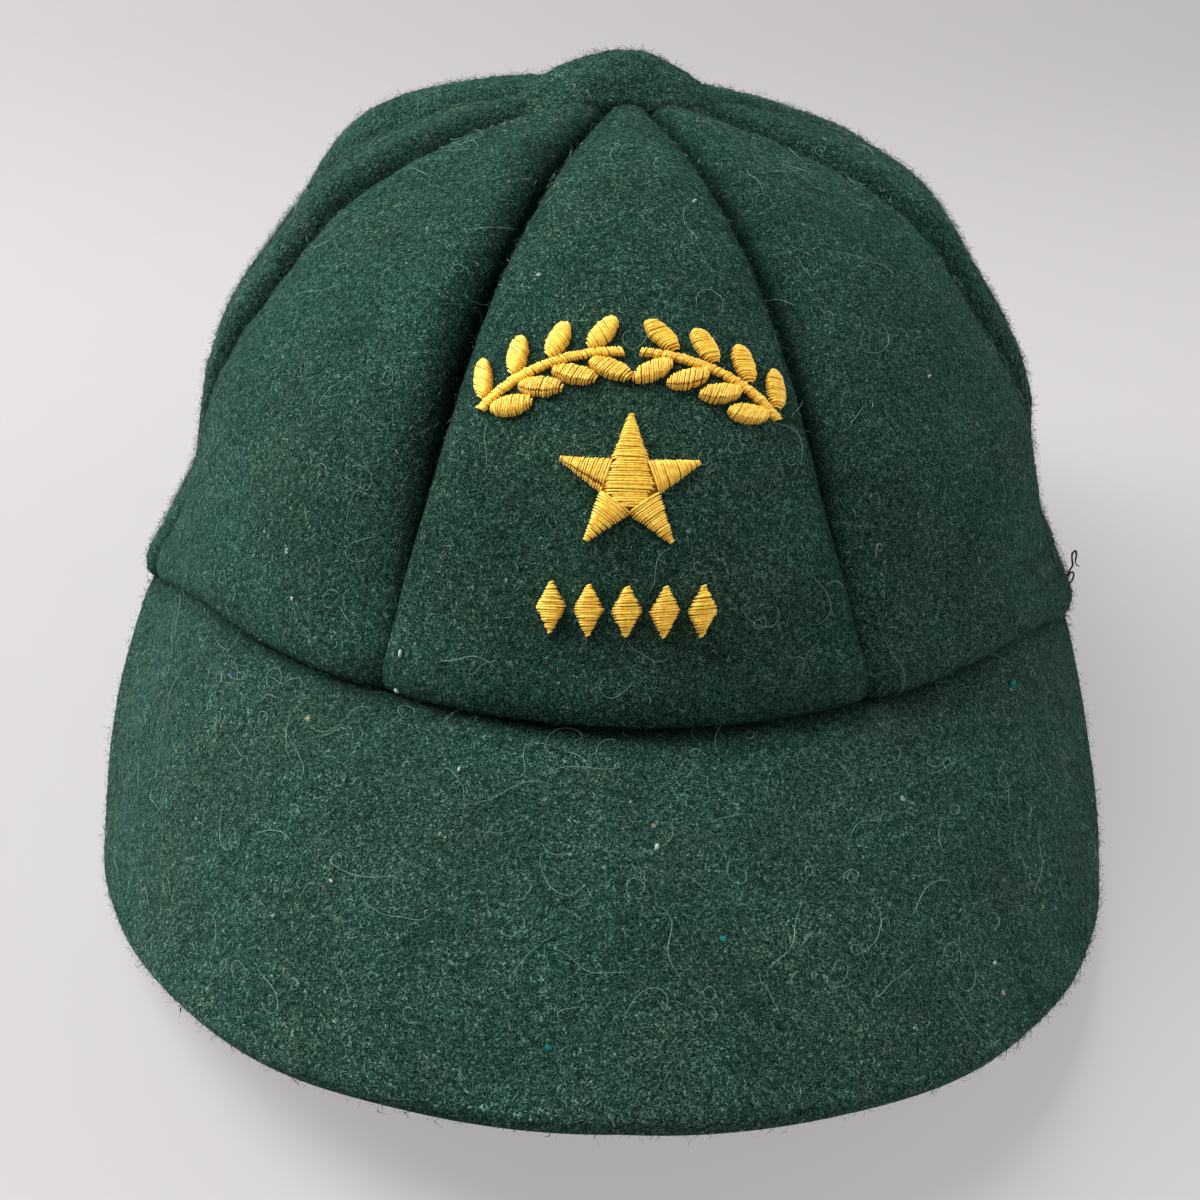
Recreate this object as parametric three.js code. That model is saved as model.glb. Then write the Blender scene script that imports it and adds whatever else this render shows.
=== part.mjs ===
// A cricket cap in wool felt: eight gores sewn to one another and to a stiff curved peak, with a covered
// button on top and a star, leaves and lozenges embroidered on the front gore.
// Millimetres, +Z up, the peak points along -Y. The cap is shaped with its rim level, where an angle of 0
// is the brow and angles grow towards +X, and is then tipped to stand as it does on a table.
import * as THREE from 'three';

// Crown
const rimWidth = 167; // outside width of the rim
const rimLength = 201; // outside length of the rim
const crownHeight = 89.1; // from the rim's plane to where the seams meet
const feltThickness = 2.2;
const hemThickness = 3.4; // cloth with its turned-up hem
const hemHeight = 14;
const hemBlend = 0.2; // share of its height over which the hem thins out, either way
const hemRound = 1.1; // how far the hem's lower corner is rounded off
const creaseDepth = 1.5; // how far a seam is drawn in
const creaseWidth = 2.4;
const puffSquareness = 2.6; // how flat a gore is across its middle
const waistDepth = 6.3; // the hollow in the cap's sides, above the temples
const waistHeight = 28;
const waistSpread = 14.3;
const waistAngle = 95; // degrees round from the brow, where the sides are hollowest
const waistArc = 34;
const shoulderDepth = 2.7; // the swell above that hollow
const shoulderHeight = 71;
const shoulderSpread = 8.6;
const shoulderArc = 40;
const frontRise = 16.8; // how far the rim is lifted over the brow
const riseStart = 44; // degrees round from the brow, where the lift starts to fall
const riseEnd = 85;
const topHole = 4.2; // radius left open under the button

// Clearances
const seamGap = 0.3; // between two gores
const seatGap = 0.4; // between the crown and what is sewn to it
const plyGap = 0.3; // between the two covers of the peak
const stitchGap = 0.35; // under the embroidery

// Peak
const peakTopThickness = 2.1;
const peakUnderThickness = 1.7;
const peakReach = 46.5; // from the brow to the tip, seen from above
const peakWidth = 172;
const peakRoot = 30.5; // how far in front of the crown's middle the outline runs straight back
const peakSquareness = 2.06; // exponent of the outline's superellipse
const peakDrop = 32; // fall from the brow to the tip
const peakWing = 73.5; // degrees round from the brow, where the peak's wings end
const wingTaper = 0.14; // share of a wing over which it narrows to its end
const wingEndWidth = 0.5; // width kept there, as a share
const peakTuck = 2.4; // how far the peak reaches under the hem
const peakCamber = 1.6;
const peakEdgeRound = 0.8;
const underInset = 0.5; // how far the under cover stops short of the edge

// Button
const buttonRadius = 11.4;
const buttonHeight = 6.4;
const buttonStemRadius = 2.6;
const buttonStemLength = 4.5;
const buttonCushion = 1.5; // height of the button's side
const buttonFoot = 0.9; // width of the button's underside, as a share

// Embroidery, on the front gore
const threadHeight = 0.8;
const starRadius = 10.4;
const starWaist = 0.4; // radius of the inner points, as a share of the outer
const starHeight = 47.6; // height of the star's middle above the rim's plane
const archRadius = 26.5; // of the arch that the two stems follow
const archRise = 19.6; // how far the arch's crest lies above the star's middle
const archStart = 2.4; // degrees from the crest
const archEnd = 52;
const stemWidth = 1.2;
const leafPairs = 4;
const leafLength = 6.2;
const leafWidth = 2.8;
const leafSpread = 36; // degrees between a leaf and its stem
const leafGap = 0.4;
const leafFullness = 1.2; // exponent of a leaf's outline, where 2 makes it lozenge-like
const footShare = 0.15; // of the way to the next pair, between the arch's end and the first pair
const lozengeCount = 5;
const lozengeWidth = 3.9;
const lozengeHeight = 7.4;
const lozengePitch = 5.2;
const lozengeDrop = 17.6; // how far the row lies below the star's middle

// How deep the felt is pressed flat where the cap rests
const restPress = 0.8;

// Fineness of the faceted solids
const goreRows = 14;
const peakColumns = 44;
const buttonSides = 24;
const buttonRings = 6;

// How far each gore stands proud of its seams, in turn from the front one towards +X
const gorePuffs = [
	{ name: 'gore_front', puff: 2.8 },
	{ name: 'gore_front_left', puff: 3.3 },
	{ name: 'gore_left', puff: 1.4 },
	{ name: 'gore_back_left', puff: 5.4 },
	{ name: 'gore_back', puff: 8 },
	{ name: 'gore_back_right', puff: 9.2 },
	{ name: 'gore_right', puff: 0.6 },
	{ name: 'gore_front_right', puff: 2.2 },
];

// That puff's share, by height as a share of the crown's
const puffRows = [
	{ height: 0, share: 0.24 },
	{ height: 0.18, share: 0.45 },
	{ height: 0.5, share: 0.95 },
	{ height: 0.75, share: 1 },
	{ height: 0.92, share: 0.45 },
	{ height: 1, share: 0 },
];

// Fall of the peak's edge below the brow, as a share of its drop, by turn from the tip to the end of a wing
const edgeRows = [
	{ turn: 0, fall: 1 },
	{ turn: 0.26, fall: 1.05 },
	{ turn: 0.5, fall: 1.17 },
	{ turn: 0.66, fall: 1.27 },
	{ turn: 0.8, fall: 1.29 },
	{ turn: 0.92, fall: 0.98 },
	{ turn: 1, fall: 0.6 },
];

// Places across a gore from seam to seam, and out along the peak from under the hem to its edge
const goreColumns = [-1, -0.95, -0.86, -0.68, -0.42, -0.14, 0.14, 0.42, 0.68, 0.86, 0.95, 1];
const peakRows = [-1, 0, 0.12, 0.3, 0.5, 0.7, 0.88, 1];

const gores = gorePuffs.length;
const halfWidth = rimWidth / 2;
const halfLength = rimLength / 2;
const radians = THREE.MathUtils.degToRad;
const degrees = THREE.MathUtils.radToDeg;

const felt = new THREE.MeshStandardMaterial({ color: 0x2f5145, roughness: 0.95, metalness: 0 });
const underFelt = new THREE.MeshStandardMaterial({ color: 0x29473d, roughness: 0.95, metalness: 0 });
const goldThread = new THREE.MeshStandardMaterial({ color: 0xe0ae3c, roughness: 0.45, metalness: 0 });

// A table's column at a place along it, on a smooth curve through its rows
function readRows(rows, along, column, at) {
	const found = rows.findIndex((row) => row[along] > at);
	const next = THREE.MathUtils.clamp(found < 0 ? rows.length - 1 : found, 1, rows.length - 1);
	const lower = rows[next - 1];
	const upper = rows[next];
	const before = rows[Math.max(next - 2, 0)];
	const after = rows[Math.min(next + 1, rows.length - 1)];
	const span = upper[along] - lower[along];
	const share = THREE.MathUtils.clamp((at - lower[along]) / span, 0, 1);
	const startSlope = ((upper[column] - before[column]) / (upper[along] - before[along])) * span;
	const endSlope = ((after[column] - lower[column]) / (after[along] - lower[along])) * span;
	const square = share ** 2;
	const cube = share ** 3;
	return (
		(2 * cube - 3 * square + 1) * lower[column] +
		(cube - 2 * square + share) * startSlope +
		(3 * square - 2 * cube) * upper[column] +
		(cube - square) * endSlope
	);
}

// Angles of the seams round the rim, with equal lengths of rim between them and the brow mid-gore
function seamAngles() {
	const steps = 1440;
	const lengths = [0];
	for (let step = 1; step <= steps; step++) {
		const angle = ((step - 0.5) / steps) * 2 * Math.PI;
		const length = Math.hypot(halfWidth * Math.cos(angle), halfLength * Math.sin(angle));
		lengths.push(lengths[step - 1] + length);
	}
	const angles = [];
	for (let seam = 0; seam < gores; seam++) {
		const wanted = (lengths[steps] * (seam + 0.5)) / gores;
		const step = lengths.findIndex((length) => length > wanted);
		const share = (wanted - lengths[step - 1]) / (lengths[step] - lengths[step - 1]);
		angles.push(((step - 1 + share) / steps) * 2 * Math.PI);
	}
	return angles;
}

const seams = seamAngles();
const topPitch = Math.acos(topHole / halfWidth);

// Degrees round from the brow, either way
function degreesRound(angle) {
	return degrees(Math.abs(Math.atan2(Math.sin(angle), Math.cos(angle))));
}

// Height of the rim above its plane: lifted over the brow, level round the sides and back
function rimHeight(angle) {
	return frontRise * (1 - THREE.MathUtils.smoothstep(degreesRound(angle), riseStart, riseEnd));
}

// The pitch of the rim on the dome
function rimPitch(angle) {
	return Math.asin(rimHeight(angle) / crownHeight);
}

// A place on the smooth dome that the seams follow, with its outward normal; pitch rises to the top
function dome(angle, pitch) {
	const point = new THREE.Vector3(
		halfWidth * Math.sin(angle) * Math.cos(pitch),
		-halfLength * Math.cos(angle) * Math.cos(pitch),
		crownHeight * Math.sin(pitch),
	);
	const squares = new THREE.Vector3(halfWidth ** 2, halfLength ** 2, crownHeight ** 2);
	return { point, normal: point.clone().divide(squares).normalize() };
}

// How far the crown stands out of its dome all told: hollow above the temples, full over that
function swell(angle, height) {
	const round = degreesRound(angle) - waistAngle;
	const fade = (arc, middle, spread) => Math.exp(-((round / arc) ** 2) - ((height - middle) / spread) ** 2);
	return (
		shoulderDepth * fade(shoulderArc, shoulderHeight, shoulderSpread) -
		waistDepth * fade(waistArc, waistHeight, waistSpread)
	);
}

// A gore's first seam, middle and half width, as angles
function goreSpan(gore) {
	const start = gore === 0 ? seams[gores - 1] - 2 * Math.PI : seams[gore - 1];
	return { start, middle: (start + seams[gore]) / 2, half: (seams[gore] - start) / 2 };
}

// How far a gore's outer face stands out of the dome
function goreOffset(gore, angle, pitch) {
	const { middle, half } = goreSpan(gore);
	const across = Math.min(Math.abs(angle - middle) / half, 1);
	const ring = Math.cos(pitch) * Math.hypot(halfWidth * Math.cos(middle), halfLength * Math.sin(middle));
	const { puff } = gorePuffs[gore];
	const share = readRows(puffRows, 'height', 'share', Math.sin(pitch));
	const room = Math.min(1, (half * ring) / (3 * creaseWidth));
	const crease = creaseDepth * room * Math.exp((-(1 - across) * half * ring) / creaseWidth);
	return puff * share * (1 - across ** puffSquareness) - crease + swell(angle, crownHeight * Math.sin(pitch));
}

// A place on a gore's outer face, and the dome's normal there
function gorePlace(gore, angle, pitch) {
	const { point, normal } = dome(angle, pitch);
	return { point: point.addScaledVector(normal, goreOffset(gore, angle, pitch)), normal };
}

// Turns rows of outer and inner points, as many in each, into one closed shell
function shell(outer, inner) {
	const rows = outer.length;
	const columns = outer[0].length;
	const positions = [...outer.flat(), ...inner.flat()].flatMap((point) => point.toArray());
	const index = [];
	const at = (side, row, column) => (side * rows + row) * columns + column;
	const face = (a, b, c, d) => index.push(a, b, c, a, c, d);
	for (let row = 0; row < rows - 1; row++) {
		for (let column = 0; column < columns - 1; column++) {
			face(at(0, row, column), at(0, row, column + 1), at(0, row + 1, column + 1), at(0, row + 1, column));
			face(at(1, row, column), at(1, row + 1, column), at(1, row + 1, column + 1), at(1, row, column + 1));
		}
	}
	for (let row = 0; row < rows - 1; row++) {
		const last = columns - 1;
		face(at(0, row, 0), at(0, row + 1, 0), at(1, row + 1, 0), at(1, row, 0));
		face(at(0, row, last), at(1, row, last), at(1, row + 1, last), at(0, row + 1, last));
	}
	for (let column = 0; column < columns - 1; column++) {
		const last = rows - 1;
		face(at(0, 0, column), at(1, 0, column), at(1, 0, column + 1), at(0, 0, column + 1));
		face(at(0, last, column), at(0, last, column + 1), at(1, last, column + 1), at(1, last, column));
	}
	const geometry = new THREE.BufferGeometry();
	geometry.setAttribute('position', new THREE.Float32BufferAttribute(positions, 3));
	return geometry.setIndex(index);
}

// One gore: a felt wall that thickens into its turned-up hem
function goreGeometry(gore) {
	const { middle, half } = goreSpan(gore);
	const outer = [];
	const inner = [];
	for (let row = 0; row <= goreRows; row++) {
		const outerRow = [];
		const innerRow = [];
		for (const across of goreColumns) {
			const lowest = rimPitch(middle + across * half);
			const pitch = lowest + ((topPitch - lowest) * row) / goreRows;
			const ring = Math.cos(pitch) * Math.hypot(halfWidth * Math.cos(middle), halfLength * Math.sin(middle));
			const angle = middle + across * (half - seamGap / 2 / ring);
			const { point, normal } = gorePlace(gore, angle, pitch);
			const aboveRim = crownHeight * (Math.sin(pitch) - Math.sin(lowest));
			const plain = THREE.MathUtils.smoothstep(aboveRim, hemHeight * (1 - hemBlend), hemHeight * (1 + hemBlend));
			const wall = THREE.MathUtils.lerp(hemThickness, feltThickness, plain);
			const inward = row === 0 ? new THREE.Vector3(-normal.x, -normal.y, 0).normalize() : normal.negate();
			outerRow.push(point.clone().addScaledVector(inward, row === 0 ? hemRound : 0));
			innerRow.push(point.clone().addScaledVector(inward, wall));
		}
		outer.push(outerRow);
		inner.push(innerRow);
	}
	return shell(outer, inner);
}

// The line under the hem where the peak starts, by turn from -1 to 1 between the ends of its wings
function browPoint(turn) {
	const angle = radians(peakWing) * turn;
	const { point, normal } = dome(angle, rimPitch(angle));
	point.addScaledVector(normal, swell(angle, rimHeight(angle)));
	return point.setZ(rimHeight(angle) - seatGap);
}

// The peak's outer edge: a superellipse seen from above, with its height from the table
function edgePoint(turn) {
	const angle = (Math.min(Math.abs(turn), 1) * Math.PI) / 2;
	const power = 2 / peakSquareness;
	const reach = halfLength + peakReach - peakRoot;
	const edge = new THREE.Vector3(
		((Math.sign(turn) * peakWidth) / 2) * Math.sin(angle) ** power,
		-peakRoot - reach * Math.max(Math.cos(angle), 0) ** power,
		frontRise - peakDrop * readRows(edgeRows, 'turn', 'fall', Math.abs(turn)),
	);
	const narrowed = (1 - wingEndWidth) * THREE.MathUtils.smoothstep(Math.abs(turn), 1 - wingTaper, 1);
	return edge.lerp(browPoint(turn), narrowed);
}

// A place on the peak's upper face: out is 0 at the brow, 1 at the edge, and negative under the hem
function peakPlace(turn, out) {
	const brow = browPoint(turn);
	if (out < 0) {
		const outward = new THREE.Vector3(brow.x / halfWidth ** 2, brow.y / halfLength ** 2, 0).normalize();
		return brow.addScaledVector(outward, peakTuck * out);
	}
	const edge = edgePoint(turn);
	const camber = peakCamber * 4 * out * (1 - out) * (brow.distanceTo(edge) / peakReach);
	return brow.lerp(edge, out).add(new THREE.Vector3(0, 0, camber));
}

// The normal of the peak's upper face, from places a little to each side
function peakNormal(turn, out) {
	const step = 0.01;
	const side = THREE.MathUtils.clamp(turn, -1 + step, 1 - step);
	const place = THREE.MathUtils.clamp(out, step, 1 - step);
	const along = peakPlace(side + step, place).sub(peakPlace(side - step, place));
	const forward = peakPlace(side, place + step).sub(peakPlace(side, place - step));
	return forward.cross(along).normalize();
}

// One cover of the peak between two depths below its upper face, ending an inset short of the edge
function peakCover(fromDepth, toDepth, inset, edgeRound) {
	const upper = [];
	const lower = [];
	for (const out of peakRows) {
		const upperRow = [];
		const lowerRow = [];
		for (let column = 0; column <= peakColumns; column++) {
			const turn = (column / peakColumns) * 2 - 1;
			const length = browPoint(turn).distanceTo(edgePoint(turn));
			const reached = out === 1 ? 1 - inset / length : out;
			const normal = peakNormal(turn, reached);
			const place = peakPlace(turn, reached);
			upperRow.push(place.clone().addScaledVector(normal, -fromDepth - (out === 1 ? edgeRound : 0)));
			lowerRow.push(place.clone().addScaledVector(normal, -toDepth));
		}
		upper.push(upperRow);
		lower.push(lowerRow);
	}
	return shell(lower, upper);
}

// The highest that the gores stand at a distance from the crown's axis
function topAt(radius) {
	const heights = [];
	for (let gore = 0; gore < gores; gore++) {
		const { middle } = goreSpan(gore);
		const halfAcross = Math.hypot(halfWidth * Math.sin(middle), halfLength * Math.cos(middle));
		heights.push(gorePlace(gore, middle, Math.acos(radius / halfAcross)).point.z);
	}
	return Math.max(...heights);
}

// The covered button: a soft dome with a stem that goes down between the tips of the gores
function buttonGeometry() {
	const seat = (radius) => topAt(radius) + seatGap;
	const rim = seat(buttonRadius * buttonFoot);
	const stemTop = seat(topHole);
	const profile = [
		new THREE.Vector2(0, stemTop - buttonStemLength),
		new THREE.Vector2(buttonStemRadius, stemTop - buttonStemLength),
		new THREE.Vector2(buttonStemRadius, stemTop),
		new THREE.Vector2(buttonRadius / 2, Math.max(seat(buttonRadius / 2), stemTop)),
		new THREE.Vector2(buttonRadius * buttonFoot, rim),
	];
	for (let ring = 0; ring < buttonRings; ring++) {
		const angle = (ring / buttonRings) * (Math.PI / 2);
		const rise = buttonCushion + (buttonHeight - buttonCushion) * Math.sin(angle);
		profile.push(new THREE.Vector2(buttonRadius * Math.cos(angle), rim + rise));
	}
	profile.push(new THREE.Vector2(0, rim + buttonHeight));
	return new THREE.LatheGeometry(profile, buttonSides).rotateX(Math.PI / 2);
}

// A place over the front gore: along and up are lengths on the cloth from the star's middle
function badgePlace(along, up, lift) {
	const starPitch = Math.asin(starHeight / crownHeight);
	const reach = Math.hypot(halfLength * Math.sin(starPitch), crownHeight * Math.cos(starPitch));
	const pitch = starPitch + up / reach;
	const angle = Math.asin(along / (halfWidth * Math.cos(pitch)));
	const { point, normal } = gorePlace(0, angle, pitch);
	return point.addScaledVector(normal, lift);
}

// A raised patch of stitching: an outline round its middle, filled by rings that shrink towards it
function stitchedPatch(outline, rings) {
	const sides = outline.length;
	const middle = outline.reduce((sum, point) => sum.add(point), new THREE.Vector2()).divideScalar(sides);
	const positions = [];
	const index = [];
	for (const lift of [stitchGap, stitchGap + threadHeight]) {
		positions.push(...badgePlace(middle.x, middle.y, lift).toArray());
		for (let ring = 1; ring <= rings; ring++) {
			for (const corner of outline) {
				const { x, y } = middle.clone().lerp(corner, ring / rings);
				positions.push(...badgePlace(x, y, lift).toArray());
			}
		}
	}
	const layer = rings * sides + 1;
	const inLayer = (ring, corner) => (ring === 0 ? 0 : 1 + (ring - 1) * sides + (corner % sides));
	const at = (side, ring, corner) => side * layer + inLayer(ring, corner);
	for (let corner = 0; corner < sides; corner++) {
		index.push(at(1, 0, 0), at(1, 1, corner), at(1, 1, corner + 1));
		index.push(at(0, 0, 0), at(0, 1, corner + 1), at(0, 1, corner));
		for (let ring = 1; ring < rings; ring++) {
			index.push(at(1, ring, corner), at(1, ring + 1, corner), at(1, ring + 1, corner + 1));
			index.push(at(1, ring, corner), at(1, ring + 1, corner + 1), at(1, ring, corner + 1));
			index.push(at(0, ring, corner), at(0, ring + 1, corner + 1), at(0, ring + 1, corner));
			index.push(at(0, ring, corner), at(0, ring, corner + 1), at(0, ring + 1, corner + 1));
		}
		index.push(at(0, rings, corner), at(0, rings, corner + 1), at(1, rings, corner + 1));
		index.push(at(0, rings, corner), at(1, rings, corner + 1), at(1, rings, corner));
	}
	const geometry = new THREE.BufferGeometry();
	geometry.setAttribute('position', new THREE.Float32BufferAttribute(positions, 3));
	return geometry.setIndex(index);
}

// The five-pointed star, counterclockwise from its top point
function starOutline() {
	const points = 5;
	const outline = [];
	for (let corner = 0; corner < points * 2; corner++) {
		const angle = Math.PI / 2 + (corner * Math.PI) / points;
		const radius = corner % 2 === 0 ? starRadius : starRadius * starWaist;
		outline.push(new THREE.Vector2(radius * Math.cos(angle), radius * Math.sin(angle)));
	}
	return outline;
}

// A place on the arch, degrees from its crest, and an offset out of it
function archPoint(angle, offset) {
	const radius = archRadius + offset;
	return new THREE.Vector2(
		radius * Math.sin(radians(angle)),
		archRise - archRadius + radius * Math.cos(radians(angle)),
	);
}

// A leaf with its foot at a place, pointing along a direction given in radians
function leafOutline(foot, direction) {
	const steps = 5;
	const along = new THREE.Vector2(Math.cos(direction), Math.sin(direction));
	const beside = new THREE.Vector2(-along.y, along.x);
	const outline = [];
	for (let step = 0; step < steps * 2; step++) {
		const turn = (step / (steps * 2)) * 2 * Math.PI;
		const half = (leafWidth / 2) * -Math.sign(Math.sin(turn)) * Math.abs(Math.sin(turn)) ** leafFullness;
		outline.push(
			foot.clone()
				.addScaledVector(along, (leafLength * (1 - Math.cos(turn))) / 2)
				.addScaledVector(beside, half),
		);
	}
	return outline;
}

// The stem of one sprig as a narrow band along the arch; side is -1 or 1
function stemGeometry(side) {
	const steps = 12;
	const rows = [stitchGap + threadHeight, stitchGap].map((lift) =>
		[-stemWidth / 2, stemWidth / 2].map((offset) => {
			const row = [];
			for (let step = 0; step <= steps; step++) {
				const angle = archStart + ((archEnd - archStart) * step) / steps;
				const { x, y } = archPoint(angle * side, offset);
				row.push(badgePlace(x, y, lift));
			}
			return side > 0 ? row : row.reverse();
		}),
	);
	return shell(rows[0], rows[1]);
}

// The outlines of one sprig's leaves: pairs that point up along the stem, and one at its end
function sprigLeaves(side) {
	const outlines = [];
	const clear = stemWidth / 2 + leafGap;
	for (let pair = 0; pair < leafPairs; pair++) {
		const angle = archEnd - ((archEnd - archStart) * (pair + footShare)) / leafPairs;
		for (const out of [-1, 1]) {
			const foot = archPoint(angle * side, out * clear);
			const uphill = side > 0 ? Math.PI - radians(angle) : radians(angle);
			const turned = uphill - side * out * radians(leafSpread);
			outlines.push(leafOutline(foot, turned));
		}
	}
	return outlines;
}

// One lozenge of the row under the star
function lozengeOutline(place) {
	const x = (place - (lozengeCount - 1) / 2) * lozengePitch;
	return [
		new THREE.Vector2(x, -lozengeDrop - lozengeHeight / 2),
		new THREE.Vector2(x + lozengeWidth / 2, -lozengeDrop),
		new THREE.Vector2(x, -lozengeDrop + lozengeHeight / 2),
		new THREE.Vector2(x - lozengeWidth / 2, -lozengeDrop),
	];
}

// The names and geometries of the cap's pieces
function capPieces() {
	const underTop = peakTopThickness + plyGap;
	const underCover = peakCover(underTop, underTop + peakUnderThickness, underInset, 0);
	const pieces = [
		{ name: 'peak_top', geometry: peakCover(0, peakTopThickness, 0, peakEdgeRound), material: felt },
		{ name: 'peak_under', geometry: underCover, material: underFelt },
		{ name: 'button', geometry: buttonGeometry(), material: felt },
		{ name: 'star', geometry: stitchedPatch(starOutline(), 3), material: goldThread },
	];
	for (let gore = 0; gore < gores; gore++) {
		pieces.push({ name: gorePuffs[gore].name, geometry: goreGeometry(gore), material: felt });
	}
	for (const [side, sideName] of [[-1, 'right'], [1, 'left']]) {
		pieces.push({ name: `stem_${sideName}`, geometry: stemGeometry(side), material: goldThread });
		sprigLeaves(side).forEach((outline, leaf) => {
			const name = `leaf_${sideName}_${leaf + 1}`;
			pieces.push({ name, geometry: stitchedPatch(outline, 2), material: goldThread });
		});
	}
	for (let place = 0; place < lozengeCount; place++) {
		const geometry = stitchedPatch(lozengeOutline(place), 2);
		pieces.push({ name: `lozenge_${place + 1}`, geometry, material: goldThread });
	}
	return pieces;
}

// The lowest of a geometry's points once it is turned about X
function lowestTurned(geometry, turn) {
	const place = geometry.getAttribute('position');
	let lowest = Infinity;
	for (let point = 0; point < place.count; point++) {
		lowest = Math.min(lowest, place.getY(point) * Math.sin(turn) + place.getZ(point) * Math.cos(turn));
	}
	return lowest;
}

// The turn about X at which the peak's wings and the back of the rim come down to the same level
function restTurn(peakGeometries, goreGeometries) {
	let low = -Math.PI / 4;
	let high = 0;
	for (let step = 0; step < 40; step++) {
		const turn = (low + high) / 2;
		const peakLowest = Math.min(...peakGeometries.map((geometry) => lowestTurned(geometry, turn)));
		const rimLowest = Math.min(...goreGeometries.map((geometry) => lowestTurned(geometry, turn)));
		if (peakLowest > rimLowest) {
			low = turn;
		} else {
			high = turn;
		}
	}
	return (low + high) / 2;
}

// Presses a geometry flat against the table, whose level is given in the turned cap
function pressFlat(geometry, turn, level) {
	const place = geometry.getAttribute('position');
	for (let point = 0; point < place.count; point++) {
		const height = place.getY(point) * Math.sin(turn) + place.getZ(point) * Math.cos(turn);
		const raise = Math.max(level - height, 0);
		place.setY(point, place.getY(point) + raise * Math.sin(turn));
		place.setZ(point, place.getZ(point) + raise * Math.cos(turn));
	}
}

// The whole cap, tipped to rest on the back of its rim and its peak's wings, its box centred over the origin
function restingCap() {
	const pieces = capPieces();
	const called = (start) => pieces.filter(({ name }) => name.startsWith(start));
	const named = (start) => called(start).map(({ geometry }) => geometry);
	const turn = restTurn(named('peak'), named('gore'));
	const level = Math.min(...named('gore').map((geometry) => lowestTurned(geometry, turn))) + restPress;
	const tipped = new THREE.Group();
	tipped.rotation.x = turn;
	for (const { name, geometry, material } of pieces) {
		pressFlat(geometry, turn, level);
		geometry.computeVertexNormals();
		const mesh = new THREE.Mesh(geometry, material.clone());
		mesh.name = name;
		tipped.add(mesh);
	}
	const cap = new THREE.Group();
	cap.add(tipped);
	cap.updateMatrixWorld(true);
	const box = new THREE.Box3().setFromObject(cap, true);
	const centre = box.getCenter(new THREE.Vector3());
	tipped.position.set(-centre.x, -centre.y, -box.min.z);
	return cap;
}

export default restingCap();
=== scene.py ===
"""A cricket cap in dark green wool felt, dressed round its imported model.

The cap stands on a pale floor as it does when it is taken off: on the back of its rim and on the wings of
its peak. Shapes are worked out in the cap's own frame, in millimetres, with the rim level, +Z up and the
peak towards -Y. CapFrame then carries them to the model's frame, in metres.
"""

import logging
import math
from dataclasses import dataclass, field
from enum import Enum

import bpy
import numpy as np
from mathutils import Matrix


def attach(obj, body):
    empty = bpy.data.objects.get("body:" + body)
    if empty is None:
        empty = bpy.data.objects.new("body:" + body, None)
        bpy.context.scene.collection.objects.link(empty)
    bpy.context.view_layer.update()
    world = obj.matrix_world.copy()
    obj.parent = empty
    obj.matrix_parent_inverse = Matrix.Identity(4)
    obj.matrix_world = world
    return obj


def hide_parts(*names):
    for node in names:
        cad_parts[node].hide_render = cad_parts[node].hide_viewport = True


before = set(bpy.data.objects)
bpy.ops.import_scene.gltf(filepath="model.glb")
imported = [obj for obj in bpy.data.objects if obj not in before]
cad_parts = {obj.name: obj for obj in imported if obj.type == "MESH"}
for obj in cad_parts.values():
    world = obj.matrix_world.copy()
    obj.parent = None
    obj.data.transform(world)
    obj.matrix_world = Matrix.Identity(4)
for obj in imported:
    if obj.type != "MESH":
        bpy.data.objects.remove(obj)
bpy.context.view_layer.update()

log = logging.getLogger("cap")
MM = 0.001
LEVEL = np.array([1, 1, 0])

Array = np.ndarray
Rows = tuple[tuple[float, float], ...]
Colour = tuple[float, float, float]
Blocks = tuple[np.ndarray, list[np.ndarray]]
Material = bpy.types.Material
Socket = bpy.types.NodeSocket


class Slot(Enum):
    """Names of material slots, passed along with the pieces but not used."""

    FELT = "felt"
    UNDER_FELT = "under_felt"
    THREAD = "gold_thread"


def unit(vectors: Array) -> Array:
    """Vectors along the last axis, scaled to length 1."""
    return vectors / np.maximum(np.linalg.norm(vectors, axis=-1, keepdims=True), 1e-12)


def smoothstep(values: Array, low: float, high: float) -> Array:
    """0 below low, 1 above high, and an S-curve 3t^2 - 2t^3 between them."""
    t = np.clip((values - low) / (high - low), 0, 1)
    return t * t * (3 - 2 * t)


def bell(values: Array) -> Array:
    """A bell curve of height 1, which is 1/e at 1."""
    return np.exp(-(values**2))


def read_rows(rows: Rows | Array, at: Array) -> Array:
    """Reads a table of (place, value) rows on a smooth curve.

    Between two rows the curve is the cubic whose ends have the values of the rows and the slopes of the
    chords over the rows next to them.

    Args:
        rows: The table, in rising order of place.
        at: Places to read at.

    Returns:
        The curve's values there.
    """
    place, value = np.array(rows, float).T
    upper = np.clip(np.searchsorted(place, at, side="right"), 1, len(place) - 1)
    lower, before, after = upper - 1, np.maximum(upper - 2, 0), np.minimum(upper + 1, len(place) - 1)
    span = place[upper] - place[lower]
    t = np.clip((at - place[lower]) / span, 0, 1)
    start = (value[upper] - value[before]) / (place[upper] - place[before]) * span
    end = (value[after] - value[lower]) / (place[after] - place[lower]) * span
    ends = (2 * t**3 - 3 * t**2 + 1) * value[lower] + (t**3 - 2 * t**2 + t) * start
    return ends + (3 * t**2 - 2 * t**3) * value[upper] + (t**3 - t**2) * end


def rounding(distance: Array, radius: Array | float, least: float = 0.1) -> Array:
    """How full a rounded edge is at a distance from it: a quarter circle, from least at the edge to 1."""
    inside = 1 - np.clip(distance / radius, 0, 1)
    return np.maximum(np.sqrt(np.maximum(1 - inside**2, 0)), least)


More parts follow.
